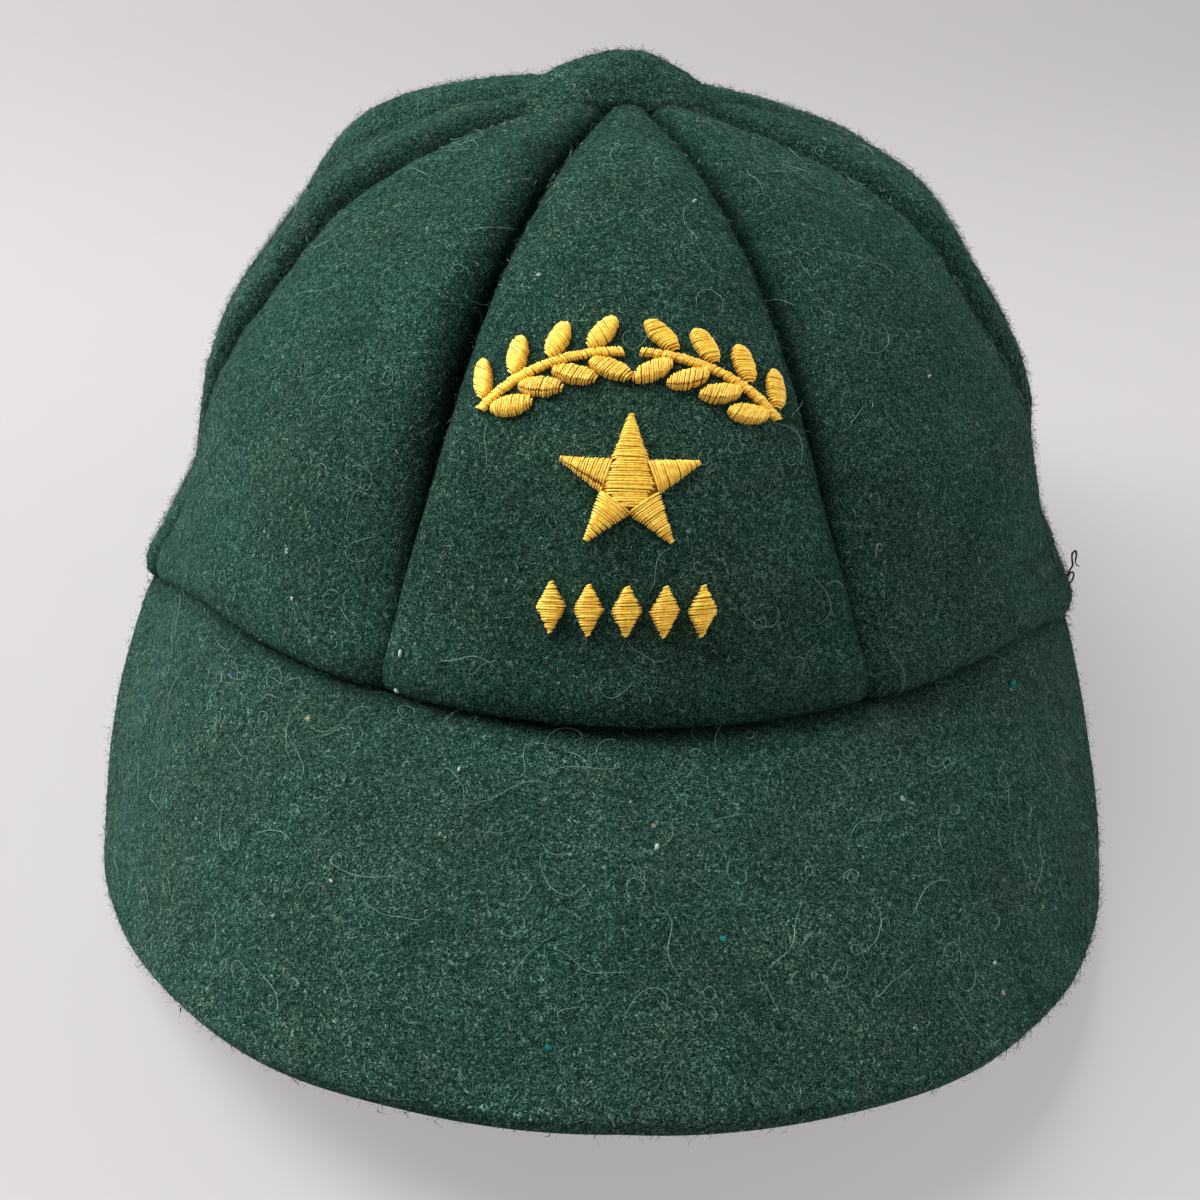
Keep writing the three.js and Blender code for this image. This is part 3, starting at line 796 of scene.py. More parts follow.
def build_stray_flecks() -> None:
    """Sparse bright flecks: the middles of a few Voronoi cells, each with a colour of its own."""
    graph = Group("stray_flecks", Scale=220.0, Share=0.03, Size=0.1)
    given = graph.given
    place = graph.vector("ADD", given["Vector"], graph.scaled(graph.wander(given["Vector"], 2600.0), 0.0007))
    cells = graph.add("TexVoronoi", None, Vector=place, Scale=given["Scale"]).outputs
    hue = graph.add("SeparateColor", None, Color=cells["Color"]).outputs
    chosen = graph.math("LESS_THAN", hue[0], given["Share"])
    near = graph.math("LESS_THAN", cells["Distance"], given["Size"])
    tints = graph.add("ValToRGB", None, Fac=hue[1])
    stops = tints.color_ramp
    stops.interpolation = "CONSTANT"
    teal, straw, blue = (0.02, 0.3, 0.3), (0.5, 0.5, 0.28), (0.06, 0.1, 0.3)
    colours = ((0.0, (0.45, 0.55, 0.5)), (0.45, teal), (0.7, straw), (0.88, blue))
    while len(stops.elements) < len(colours):
        stops.elements.new(0.99)
    for element, (position, colour) in zip(stops.elements, colours):
        element.position, element.color = position, (*colour, 1)
    graph.give(Mask=graph.math("MULTIPLY", chosen, near), Color=tints.outputs[0])


@dataclass(frozen=True)
class Felt:
    """Milled wool felt with a short nap.

    Attributes:
        name: The material's name.
        dark: Colour between the fibres.
        middle: Main colour.
        light: Colour of most fibres.
        bright: Colour of the palest fibres.
        curl_scale: Fibres for each metre.
        flecks: Share of cells with a fleck.
        relief: Depth of the fibres' relief, in metres.
    """

    name: str
    dark: Colour
    middle: Colour
    light: Colour
    bright: Colour
    curl_scale: float = 1900.0
    flecks: float = 0.03
    relief: float = 0.00034

    def make(self) -> Material:
        """Builds the material from the shared groups, with painted shade where the crease attribute is high.
        """
        graph = Finish(self.name)
        tones = {"Dark": self.dark, "Middle": self.middle, "Light": self.light, "Bright": self.bright}
        tones = {name: (*colour, 1) for name, colour in tones.items()}
        wool = graph.group("heathered_wool", Fibre_Scale=self.curl_scale, **tones)
        flecks = graph.group("stray_flecks", Share=self.flecks)
        flecked = graph.mix(flecks["Mask"], wool["Color"], flecks["Color"])
        crease = graph.add("Attribute", {"attribute_name": "crease"}).outputs["Fac"]
        # painted shade: the colour is mixed towards near black by the crease attribute, in the seams, at the
        # hem and along the brow
        colour = graph.mix(crease, flecked, (0.0008, 0.003, 0.0026, 1))
        bump = graph.add("Bump", None, Height=wool["Height"], Strength=1.0, Distance=self.relief).outputs[0]
        sheen = {"Sheen_Weight": 0.12, "Sheen_Roughness": 0.5, "Sheen_Tint": (0.2, 0.8, 0.6, 1)}
        return graph.end(Base_Color=colour, Normal=bump, Roughness=1.0, Specular_IOR_Level=0.05, **sheen)


@dataclass(frozen=True)
class Yarn:
    """A plain colour for fibres, threads and stray hairs."""

    name: str
    colour: Colour
    roughness: float = 0.9
    specular: float = 0.1
    sheen: float = 0.05

    def make(self) -> Material:
        """Builds the material."""
        material = bpy.data.materials.new(self.name)
        material.use_nodes = True
        inputs = material.node_tree.nodes["Principled BSDF"].inputs
        inputs["Base Color"].default_value = (*self.colour, 1)
        inputs["Roughness"].default_value = self.roughness
        inputs["Specular IOR Level"].default_value = self.specular
        inputs["Sheen Weight"].default_value = self.sheen
        return material


@dataclass(frozen=True)
class GoldThread:
    """Bright embroidery thread: gold with a soft gloss, a little uneven from stitch to stitch.

    A faint warm painted glow, an emission, lightens the thread and the gaps between its stitches, standing in
    for the light that the thread lets pass.
    """

    name: str = "gold_embroidery_thread"
    deep: Colour = (0.95, 0.47, 0.025)
    bright: Colour = (1.0, 0.8, 0.105)
    painted_glow: Colour = (1.0, 0.35, 0.02)
    painted_glow_strength: float = 0.12

    def make(self) -> Material:
        """Builds the material, whose tone follows noise of about a stitch in size."""
        graph = Finish(self.name)
        tone = graph.ramp(graph.noise(graph.place, 2100.0), 0.3, 0.6)
        colour = graph.mix(tone, (*self.deep, 1), (*self.bright, 1))
        filaments = graph.noise(graph.place, 9000.0, 1.0)
        bump = graph.add("Bump", None, Height=filaments, Strength=0.5, Distance=0.00004).outputs[0]
        # painted glow: a faint warm emission that lightens the thread and the shaded gaps between stitches
        painted_glow = {"Emission_Color": (*self.painted_glow, 1), "Emission_Strength": self.painted_glow_strength}
        gloss = {"Roughness": 0.38, "Specular_IOR_Level": 0.55, "Sheen_Weight": 0.25, "Sheen_Roughness": 0.4}
        return graph.end(Base_Color=colour, Normal=bump, **painted_glow, **gloss)


class Workshop:
    """Keeps what every sub-assembly uses: the cap's frame and its materials."""

    def __init__(self, place: CapFrame) -> None:
        """Builds the node groups and materials.

        Args:
            place: Where the cap stands.
        """
        self.place = place
        build_curly_fibres()
        build_heathered_wool()
        build_stray_flecks()
        tones = (0.0007, 0.0072, 0.0048), (0.0038, 0.028, 0.0183), (0.0285, 0.106, 0.074), (0.21, 0.39, 0.3)
        self.felt = Felt("green_felt", *tones, 2400.0).make()
        tones = (0.0007, 0.0072, 0.005), (0.004, 0.0285, 0.0198), (0.031, 0.108, 0.079), (0.25, 0.43, 0.34)
        self.peak_felt = Felt("green_peak_felt", *tones, 2500.0, 0.05).make()
        tones = (0.003, 0.012, 0.009), (0.008, 0.03, 0.022), (0.022, 0.065, 0.048), (0.08, 0.16, 0.12)
        self.under_felt = Felt("green_under_felt", *tones).make()
        # the underlay is a real layer of stitches; its darker gold is painted shade in the gaps between the
        # threads
        self.embroidery = [GoldThread().make(), Yarn("gold_underlay", (0.3, 0.12, 0.012)).make()]
        wools = {
            "wool_deep_green": (0.005, 0.022, 0.016),
            "wool_green": (0.013, 0.052, 0.037),
            "wool_sea_green": (0.01, 0.07, 0.058),
            "wool_grey_green": (0.055, 0.14, 0.1),
            "wool_pale": (0.28, 0.36, 0.27),
        }
        self.wool = [Yarn(name, colour).make() for name, colour in wools.items()]
        self.dark_thread = Yarn("dark_grey_thread", (0.06, 0.07, 0.07)).make()
        self.pale_wool = Yarn("stray_pale_wool", (0.2, 0.34, 0.27)).make()
        specks = {"speck_pale": (0.42, 0.5, 0.42), "speck_teal": (0.01, 0.19, 0.22)}
        self.specks = [Yarn(name, colour).make() for name, colour in specks.items()]

    def hand_in(
        self, parts: MeshParts, name: str, materials: list[Material], slot: Slot, *nodes: str
    ) -> None:
        """Makes a piece and hands it to the model's body.

        Args:
            parts: The piece's vertices and faces.
            name: Its name.
            materials: Its materials.
            slot: Not used.
            *nodes: The model's nodes that it stands for.
        """
        piece = parts.make(name, self.place, materials)
        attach(piece, "root")
        if nodes:
            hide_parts(*nodes)
        triangles = sum(len(block) * (block.shape[1] - 2) for block in parts.faces)
        log.info("%s: %d triangles", piece.name, triangles)


@dataclass
class Nap:
    """The wool fibres that stand out of a felt surface.

    Attributes:
        shop: Frame and materials.
        density: Fibres for each square millimetre.
        lengths: Shortest and longest fibre, in mm.
        hair: Radius of a fibre that stands out of the surface, in mm.
        curl: Radius of a fibre that lies on it, in mm.
        proud: Share of the fibres that stand out of it.
        sunk: How deep a root sits, in mm.
        shades: Share of the fibres in each shade of wool.
    """

    shop: Workshop
    density: float = 2.3
    lengths: tuple[float, float] = (0.8, 2.6)
    hair: float = 0.025
    curl: float = 0.062
    proud: float = 0.58
    sunk: float = 0.06
    shades: tuple[float, ...] = (0.16, 0.3, 0.15, 0.34, 0.05)

    def grow(self, name: str, outer: Array, slot: Slot, seed: int) -> None:
        """Grows fibres on a grid of points.

        Roots are spread evenly over the grid's cells by area. A fibre leaves its root along the surface in
        a random direction, bends to one side, and rises by a share of its length.

        Args:
            name: The piece's name.
            outer: Rows by columns by 3, in mm, facing along columns x rows.
            slot: Passed on to hand_in, which does not use it.
            seed: The random seed.
        """
        rng = np.random.default_rng(seed)
        a, b, c, d = outer[:-1, :-1], outer[:-1, 1:], outer[1:, 1:], outer[1:, :-1]
        cross = np.cross(c - a, d - b).reshape(-1, 3)
        area = np.linalg.norm(cross, axis=1) / 2
        count = int(area.sum() * self.density)
        cell = rng.choice(len(area), count, p=area / area.sum())
        u, v = rng.random((2, count, 1))
        a, b, c, d = (block.reshape(-1, 3)[cell] for block in (a, b, c, d))
        root = (1 - u) * (1 - v) * a + u * (1 - v) * b + u * v * c + (1 - u) * v * d
        normal = unit(cross)[cell]
        along = unit(np.cross(normal, unit(rng.normal(size=(count, 3)))))
        beside = np.cross(normal, along)
        shortest, longest = self.lengths
        length = (shortest + (longest - shortest) * rng.random(count) ** 2)[:, None]
        standing = rng.random((count, 1)) < self.proud
        rise = np.where(standing, rng.uniform(0.3, 1.0, (count, 1)), rng.uniform(0.05, 0.22, (count, 1)))
        bend = rng.normal(0, 0.24, (count, 1))
        root = root - normal * self.sunk
        middle = root + along * length * 0.5 + normal * length * rise * 0.55 + beside * length * bend
        droop = rng.uniform(0.4, 0.9, (count, 1))
        tip = root + along * length * (1 - rise * 0.4) + normal * length * rise * droop
        radius = np.where(standing[:, 0], self.hair, self.curl) * rng.uniform(0.6, 1.3, count)
        shade = rng.choice(len(self.shades), count, p=self.shades)
        parts = MeshParts().add(*spindles(root, middle, tip, radius), np.repeat(shade, 6))
        self.shop.hand_in(parts, name, self.shop.wool, slot)


@dataclass
class CrownPiece:
    """The eight gores, each a felt wall with a rounded hem and seams that roll under.

    Pairs are for a gore's lower and higher edge in angle. Shoulders give how proud the cloth stands beside
    the seam, low and high on the crown, slides how far the seam has slid at its foot, and eases how deep it
    stays there. Heights are where such a change starts and ends.
    """

    shop: Workshop
    crown: Crown
    columns: int = 47
    rows: int = 96
    hem_rows: int = 7
    pucker: float = 0.2
    pucker_pitch: float = 8.5
    pucker_reach: float = 7
    seam_sink: float = 1.9
    seam_width: float = 1.4
    shoulder_at: float = 4.6
    shoulder_heights: tuple[float, float] = (22, 55)
    shoulders: tuple[tuple[tuple[float, float], tuple[float, float]], ...] = (
        ((0.1, 0.1), (0.1, 0.1)),
        ((1.6, 1.7), (0.3, 0.3)),
        ((0.6, 2.2), (0.9, 0.9)),
        *[((0.9, 0.9), (0.9, 0.9))] * 3,
        ((0.9, 0.9), (0.6, 2.2)),
        ((0.3, 0.3), (1.6, 1.7)),
    )
    slides: Rows = ((-1.2, 3), (3, 6), (6, 0), (0, 0), (0, 0), (0, 0), (0, -8), (-8, -1.2))
    slide_heights: tuple[float, float] = (14, 46)
    long_slide: float = 4
    long_slide_heights: tuple[float, float] = (24, 74)
    eases: Rows = ((0.12, 0.15), (0.15, 1), *[(1, 1)] * 5, (1, 0.12))
    ease_heights: tuple[float, float] = (25, 60)
    hem_roll: float = 0.5
    hem_roll_height: float = 4
    hem_bulge: float = 1.1
    hem_bulge_at: float = 4.5
    hem_drop: float = 0.35
    nap_depth: float = 0.4
    densities: tuple[float, ...] = (2.3, 2.3, 2.1, 1.8, 1.8, 1.8, 2.1, 2.3)

    def rows_up(self) -> Array:
        """Shares of the way up a gore, closer together round the hem."""
        quarter = 1.7 / 132
        low = quarter * (1 - np.cos(np.linspace(0, np.pi / 2, self.hem_rows)))
        return np.concatenate([low, np.linspace(quarter, 1, self.rows)[1:]])

    def slide(self, gore: int, across: Array, height: Array) -> Array:
        """How far the cloth has slid round, growing towards each seam's foot."""
        low, high = self.slides[gore]
        total = 0
        for length, share in ((low, (1 - across) / 2), (high, (1 + across) / 2)):
            heights = self.long_slide_heights if abs(length) > self.long_slide else self.slide_heights
            total = total + length * share**2 * (1 - smoothstep(height, *heights))
        return total

    def grids(self, gore: int) -> tuple[Array, Array, Array]:
        """The outer and inner faces of a gore, and the painted shade of each place in its seams and at its
        hem.

        The wall lies half to each side of a middle face. Its thickness falls to nothing at the seams and at
        the hem along a quarter circle, so both turn under.

        Args:
            gore: The gore's number.

        Returns:
            Two grids of rows by columns by 3, and one of rows by columns.
        """
        crown = self.crown
        middle, half = crown.span(gore)
        across = np.sin(np.linspace(-np.pi / 2, np.pi / 2, self.columns))[None, :]
        up = self.rows_up()[:, None]
        angle = middle + across * half + 0 * up
        lowest = crown.rim_pitch(angle)
        pitch = lowest + (crown.top_pitch - lowest) * up
        point, normal = crown.outer(gore, angle, pitch)
        height = point[..., 2]
        from_seam = (1 - np.abs(across)) * half * crown.ring(gore, pitch)
        from_rim = crown.height * (crown.top_pitch - lowest) * up
        above_hem = smoothstep(from_rim, crown.hem_height * 0.8, crown.hem_height * 1.2)
        wall = crown.hem + (crown.felt - crown.hem) * above_hem
        eased = np.where(across < 0, *self.eases[gore])
        deep = eased + (1 - eased) * smoothstep(height, *self.ease_heights)
        fullness = (1 - deep * (1 - rounding(from_seam, wall / 2))) * rounding(from_rim, wall / 2)
        waves = np.sin(2 * np.pi * (from_rim + 2.3 * gore) / self.pucker_pitch + 1.7 * np.sin(from_rim / 11))
        puckers = self.pucker * waves * np.exp(-from_seam / self.pucker_reach) * smoothstep(from_rim, 4, 14)
        puckers = puckers * smoothstep(from_seam, 0, 2.5)
        uneven = CLOTH_RIPPLE.at(point) * smoothstep(from_seam, 0, 6)
        room = np.minimum(1, half * crown.ring(gore, pitch) / 14)
        share = from_seam / self.shoulder_at
        higher = smoothstep(height, *self.shoulder_heights)
        low, high = (each[0] + (each[1] - each[0]) * higher for each in self.shoulders[gore])
        uneven += np.where(across < 0, low, high) * deep * room * share * np.exp(1 - share)
        sink = deep * self.seam_sink * room * np.exp(-from_seam / self.seam_width)
        uneven -= sink * smoothstep(from_rim, -4, 8)
        uneven += (1 - deep) * 0.85 * crown.crease_depth * room * np.exp(-from_seam / crown.crease_width)
        uneven -= self.hem_roll * np.maximum(1 - from_rim / self.hem_roll_height, 0) ** 2
        uneven -= self.nap_depth * smoothstep(from_rim, 0, 10)
        uneven += self.hem_bulge * bell((from_rim - self.hem_bulge_at) / 4)
        tangent = unit(np.cross(np.array([0, 0, 1.0]), normal))
        slid = point + tangent * self.slide(gore, across, height)[..., None]
        level = unit(normal * LEVEL)
        inward = unit(normal + (level - normal) * (1 - smoothstep(from_rim, 0, 8))[..., None])
        surface = slid + normal * (puckers + uneven)[..., None]
        surface[..., 2] -= self.hem_drop * (1 - smoothstep(from_rim, 0, 12))
        core = surface - inward * (wall / 2)[..., None]
        thick = inward * (wall / 2 * fullness)[..., None]
        # painted shade: darkness for the crease attribute, strongest in the seams and at the hem's lower
        # edge, where shade falls
        depth = deep * (0.76 * bell(from_seam) + 0.36 * bell(from_seam / 3)) + 0.85 * bell(from_rim / 1.2)
        return core + thick, core - thick, np.minimum(depth, 0.95)

    def build(self) -> list[Array]:
        """Builds the gores and their nap, and returns the gores' outer faces."""
        faces = []
        for gore, side in enumerate(self.crown.sides):
            outer, inner, depth = self.grids(gore)
            # painted shade on the outer face only, none on the inner
            painted_crease_shade = np.concatenate([depth.ravel(), 0 * depth.ravel()])
            parts = MeshParts(crease=painted_crease_shade).add(*shell(outer, inner))
            self.shop.hand_in(parts, "felt_gore_" + side, [self.shop.felt], Slot.FELT, "gore_" + side)
            nap = Nap(self.shop, self.densities[gore])
            nap.grow("nap_gore_" + side, outer[4:, 4:-4], Slot.FELT, 100 + gore)
            faces.append(outer)
        return faces


@dataclass
class PeakPiece:
    """The two covers of the peak, with the upper one turned down over the edge."""

    shop: Workshop
    peak: Peak
    columns: int = 181
    rows: int = 40
    edge_rows: int = 7
    crease_shade: float = 0.7
    crease_reach: float = 2.2
    under_inset: float = 0.5
    top_nap: float = 2.1
    under_nap: float = 0.6
    ripple: Ripple = Ripple(0.22, 22, 55, 9)

    def outs(self) -> Array:
        """Shares of the way out, from under the hem to the edge, closer together round the edge."""
        near_edge = 2.4 / 55
        turned = 1 - near_edge * np.cos(np.linspace(0, np.pi / 2, self.edge_rows)[1:])
        return np.concatenate([np.linspace(-1, 0, 3)[:-1], np.linspace(0, 1 - near_edge, self.rows), turned])

    def cover(self, near: float, far: float, inset: float, upper: bool) -> tuple[Array, Array]:
        """The upper and lower faces of a cover between two depths below the peak's upper face.

        Args:
            near: Depth of its upper face, in mm.
            far: Depth of its lower face, in mm.
            inset: How far it stops short of the edge, in mm.
            upper: Whether its upper face turns down at the edge, rather than its lower face up.

        Returns:
            Two grids of rows by columns by 3.
        """
        turn = np.linspace(-1, 1, self.columns)[None, :]
        out = self.outs()[:, None] + 0 * turn
        turn = turn + 0 * out
        length = self.peak.length(turn)
        reached = np.where(out > 0, out * (1 - inset / length), out)
        place, normal = self.peak.place(turn, reached), self.peak.normal(turn, reached)
        place = place + normal * (self.ripple.at(place) * smoothstep(out, 0, 0.2))[..., None]
        radius = (far - near) * (0.75 if upper else 1)
        fall = (far - near) * (1 - rounding((1 - out) * length, radius, 0.06))
        raised, lowered = (near + fall, far + 0 * fall) if upper else (near + 0 * fall, far - fall)
        return place - normal * raised[..., None], place - normal * lowered[..., None]

    def build(self) -> Array:
        """Builds both covers and their nap, and returns the upper face, facing up."""
        peak, shop = self.peak, self.shop
        # painted shade: the upper cover is darkened along the brow, under the crown's hem, through the crease
        # attribute
        from_brow = np.maximum(self.outs(), 0)[:, None] * peak.length(np.linspace(-1, 1, self.columns))
        shade = self.crease_shade * bell(from_brow / self.crease_reach).ravel()
        upper, lower = self.cover(0, peak.top, 0, True)
        top = MeshParts(crease=np.concatenate([0 * shade, shade])).add(*shell(lower, upper))
        depth = peak.top + peak.ply_gap
        below, lowest = self.cover(depth, depth + peak.under, self.under_inset, False)
        under = MeshParts().add(*shell(lowest, below))
        shop.hand_in(top, "felt_peak_top", [shop.peak_felt], Slot.FELT, "peak_top")
        shop.hand_in(under, "felt_peak_under", [shop.under_felt], Slot.UNDER_FELT, "peak_under")
        facing_up = upper[:, ::-1]
        Nap(shop, self.top_nap).grow("nap_peak_top", facing_up, Slot.FELT, 201)
        Nap(shop, self.under_nap).grow("nap_peak_under", lowest, Slot.UNDER_FELT, 202)
        return facing_up


@dataclass
class ButtonPiece:
    """The covered button, turned from its profile, and its nap."""

    shop: Workshop
    button: Button
    sides: int = 96
    rings: int = 30
    stem_rings: int = 5

    def build(self) -> None:
        """Builds the button as a tube that is closed at both ends, and its nap."""
        ring, tips = self.button.rings(self.sides, self.rings)
        closed = np.concatenate([ring, ring[:, :1]], 1)
        rows, columns = closed.shape[:2]
        faces = grid_faces(rows, columns)
        faces = np.where(faces % columns == self.sides, faces - self.sides, faces)
        points = closed.reshape(-1, 3)
        rim = np.arange(self.sides)
        ends = fans(rim, rim + (rows - 1) * columns, (len(points), len(points) + 1))
        parts = MeshParts().add(np.concatenate([points, tips]), [faces, ends])
        self.shop.hand_in(parts, "felt_button", [self.shop.felt], Slot.FELT, "button")
        Nap(self.shop).grow("nap_button", closed[self.stem_rings :], Slot.FELT, 301)


@dataclass
class BadgePiece:
    """The embroidery on the front gore: a star under an arch of leaves, over a row of lozenges.

    Every shape is satin stitched: threads laid side by side across it, over a low underlay, except the stems.
    """

    shop: Workshop
    crown: Crown
    star_radius: float = 10.4
    star_waist: float = 0.4
    star_height: float = 47.6
    arch_radius: float = 26.5
    arch_rise: float = 19.6
    arch_start: float = 2.4
    arch_end: float = 52
    stem_width: float = 1.2
    stem_lean: float = 1.1
    leaf_pairs: int = 4
    leaf_length: float = 6.2
    leaf_width: float = 2.8
    leaf_spread: float = 36
    leaf_gap: float = 0.4
    leaf_fullness: float = 1.2
    foot_share: float = 0.15
    lozenges: int = 5
    lozenge_width: float = 3.9
    lozenge_height: float = 7.4
    lozenge_pitch: float = 5.2
    lozenge_drop: float = 17.6
    thread_pitch: float = 0.36
    thread_radius: float = 0.178
    thread_sides: int = 7
    pile: float = 0.95
    cushion: float = 0.73
    over: float = 0.12

    def on_cloth(self, flat: Array, lift: Array) -> Array:
        """Points over the front gore, from lengths on the cloth along and up from the star's middle.

        Args:
            flat: Places as (along, up), in mm.
            lift: Heights over the cloth, in mm.

        Returns:
            The points.
        """
        crown = self.crown
        star_pitch = math.asin(self.star_height / crown.height)
        reach = math.hypot(crown.half_length * math.sin(star_pitch), crown.height * math.cos(star_pitch))
        pitch = star_pitch + flat[..., 1] / reach
        angle = np.arcsin(flat[..., 0] / (crown.half_width * np.cos(pitch)))
        point, normal = crown.outer(0, angle, pitch)
        return point + normal * (lift + CLOTH_RIPPLE.at(point))[..., None]

    def stitches(self, starts: Array, ends: Array, seed: int) -> Blocks:
        """Threads from starts to ends, each arched over the underlay and sinking in at its ends.

        The lift is the pile's height times the root of 1 - (2t - 1)^4, less a thread's radius.

        Args:
            starts: Where each thread starts on the cloth.
            ends: Where each thread ends.
            seed: The random seed.

        Returns:
            Vertices and faces.
        """
        rng = np.random.default_rng(seed)
        count, steps = len(starts), 9
        starts = starts + rng.normal(0, 0.05, (count, 2))
        ends = ends + rng.normal(0, 0.05, (count, 2))
        t = np.linspace(0, 1, steps)
        flat = starts[:, None] * (1 - t)[:, None] + ends[:, None] * t[:, None]
        length = np.linalg.norm(ends - starts, axis=1)[:, None]
        arch = np.sqrt(np.maximum(1 - (2 * t - 1) ** 4, 0))[None]
        pile = self.pile * np.clip(length / 2.2, 0.45, 1) * rng.uniform(0.9, 1.1, (count, 1))
        radii = self.thread_radius * (0.75 + 0.25 * arch) * rng.uniform(0.9, 1.1, (count, 1))
        return tubes(self.on_cloth(flat, pile * arch - 0.12), radii, self.thread_sides)

    def underlay(self, outline: Array) -> Blocks:
        """A low closed cushion under a shape's threads.

        Args:
            outline: The shape's corners, counterclockwise.

        Returns:
            Vertices and triangles.
        """
        middle = outline.mean(0)
        fine = [outline + (np.roll(outline, -1, 0) - outline) * share for share in (0, 0.5)]
        fine = np.concatenate(fine, 1).reshape(-1, 2)
        sides, rings = len(fine), 5
        share = np.linspace(0, 1, rings + 1)[1:, None, None]
        flat = middle + (fine - middle) * share * 0.93
        lift = self.cushion * np.sqrt(np.maximum(1 - share[..., 0] ** 3, 0)) + 0 * flat[..., 0]
        upper = self.on_cloth(flat, lift)
        lower = self.on_cloth(flat[-1:], np.full((1, sides), -0.2))
        tip = self.on_cloth(middle[None], np.array([self.cushion]))
        base = self.on_cloth(middle[None], np.array([-0.2]))
        points = np.concatenate([upper.reshape(-1, 3), lower.reshape(-1, 3), tip, base])
        corner = np.arange(sides)
        after = (corner + 1) % sides
        last = rings * sides
        faces = [np.stack([np.full(sides, last + sides), corner, after], -1)]
        for ring in range(rings):
            first, second = corner + ring * sides, after + ring * sides
            faces.append(np.stack([first, first + sides, second + sides], -1))
            faces.append(np.stack([first, second + sides, second], -1))
        faces.append(np.stack([np.full(sides, last + sides + 1), after + last, corner + last], -1))
        return points, [np.concatenate(faces)]

    def sew(self, name: str, outline: Array | None, starts: Array, ends: Array, seed: int) -> None:
        """Builds one embroidered shape that stands for the model's node of the same name.

        Args:
            name: The node's name.
            outline: The shape's corners, counterclockwise, or None where nothing lies under the threads.
            starts: Where its threads start.
            ends: Where they end.
            seed: The random seed.
        """
        parts = MeshParts()
        if outline is not None:
            parts.add(*self.underlay(outline), 1)
        parts.add(*self.stitches(starts, ends, seed))
        materials = self.shop.embroidery[: 1 if outline is None else 2]
        self.shop.hand_in(parts, "stitched_" + name, materials, Slot.THREAD, name)

    def star(self) -> None:
        """The star: threads across each arm, and level threads over its middle."""
        inner = self.star_radius * self.star_waist
        corner = np.arange(10)
        angle = np.pi / 2 + corner * np.pi / 5
        radius = np.where(corner % 2 == 0, self.star_radius, inner)
        outline = np.stack([radius * np.cos(angle), radius * np.sin(angle)], -1)
        foot, half = inner * math.cos(math.pi / 5), inner * math.sin(math.pi / 5)
        starts, ends = [], []
        out = np.arange(foot, self.star_radius - 0.2, self.thread_pitch)
        width = half * (self.star_radius - out) / (self.star_radius - foot) + self.over
        for arm in range(5):
            direction = np.pi / 2 + arm * 2 * np.pi / 5
            axis = np.array([math.cos(direction), math.sin(direction)])
            side = np.array([-axis[1], axis[0]])
            starts.append(out[:, None] * axis + width[:, None] * side)
            ends.append(out[:, None] * axis - width[:, None] * side)
        level = np.arange(-inner * 0.8, inner * 0.82, self.thread_pitch)
        reach = np.sqrt(np.maximum((inner * 0.93) ** 2 - level**2, 0.3))
        jitter = np.random.default_rng(8).uniform(-0.5, 0.5, (2, len(level)))
        starts.append(np.stack([-reach + jitter[0], level], -1))
        ends.append(np.stack([reach + jitter[1], level], -1))
        self.sew("star", outline, np.concatenate(starts), np.concatenate(ends), 21)

    def arch_point(self, angle: Array, offset: float) -> Array:
        """Places on the arch, by degrees from its crest and an offset out of it."""
        radius, turn = self.arch_radius + offset, np.radians(angle)
        up = self.arch_rise - self.arch_radius + radius * np.cos(turn)
        return np.stack([radius * np.sin(turn), up], -1)

    def sprig(self, side: int, name: str) -> None:
        """One half of the arch: a stem with pairs of leaves.

        Args:
            side: -1 or 1, the side of the crest.
            name: The side's name in the model's nodes.
        """
        half, arc = self.stem_width / 2, self.arch_end - self.arch_start
        threads = int(np.radians(arc) * self.arch_radius / self.thread_pitch)
        at = np.linspace(self.arch_start, self.arch_end, threads)
        starts, ends = self.arch_point(at * side, -half), self.arch_point((at + self.stem_lean) * side, half)
        self.sew("stem_" + name, None, starts, ends, len("stem_" + name) * 7)
        for number in range(2 * self.leaf_pairs):
            pair, out = number // 2, -1 if number % 2 == 0 else 1
            angle = self.arch_end - arc * (pair + self.foot_share) / self.leaf_pairs
            foot = self.arch_point(np.array(angle * side), out * (half + self.leaf_gap))
            uphill = math.pi - math.radians(angle) if side > 0 else math.radians(angle)
            self.leaf(f"leaf_{name}_{number + 1}", foot, uphill - side * out * math.radians(self.leaf_spread))

    def leaf(self, name: str, foot: Array, direction: float) -> None:
        """A leaf: threads across it, from its foot to its tip.

        Args:
            name: The node's name.
            foot: Where its foot is on the cloth.
            direction: The direction that it points in, in radians.
        """
        axis = np.array([math.cos(direction), math.sin(direction)])
        side = np.array([-axis[1], axis[0]])
        turn = np.arange(10) / 10 * 2 * np.pi
        wide = -np.sign(np.sin(turn)) * np.abs(np.sin(turn)) ** self.leaf_fullness * self.leaf_width / 2
        outline = foot + (self.leaf_length * (1 - np.cos(turn)) / 2)[:, None] * axis + wide[:, None] * side
        at = np.arange(0.25, self.leaf_length - 0.15, self.thread_pitch)
        fullness = np.sin(np.arccos(1 - 2 * at / self.leaf_length)) ** self.leaf_fullness
        half = self.leaf_width / 2 * fullness + 0.1
        slant = 0.35 * half
        starts = foot + (at + slant)[:, None] * axis + half[:, None] * side
        ends = foot + (at - slant)[:, None] * axis - half[:, None] * side
        self.sew(name, outline, starts, ends, int(abs(foot[0] * 100)) + 31)

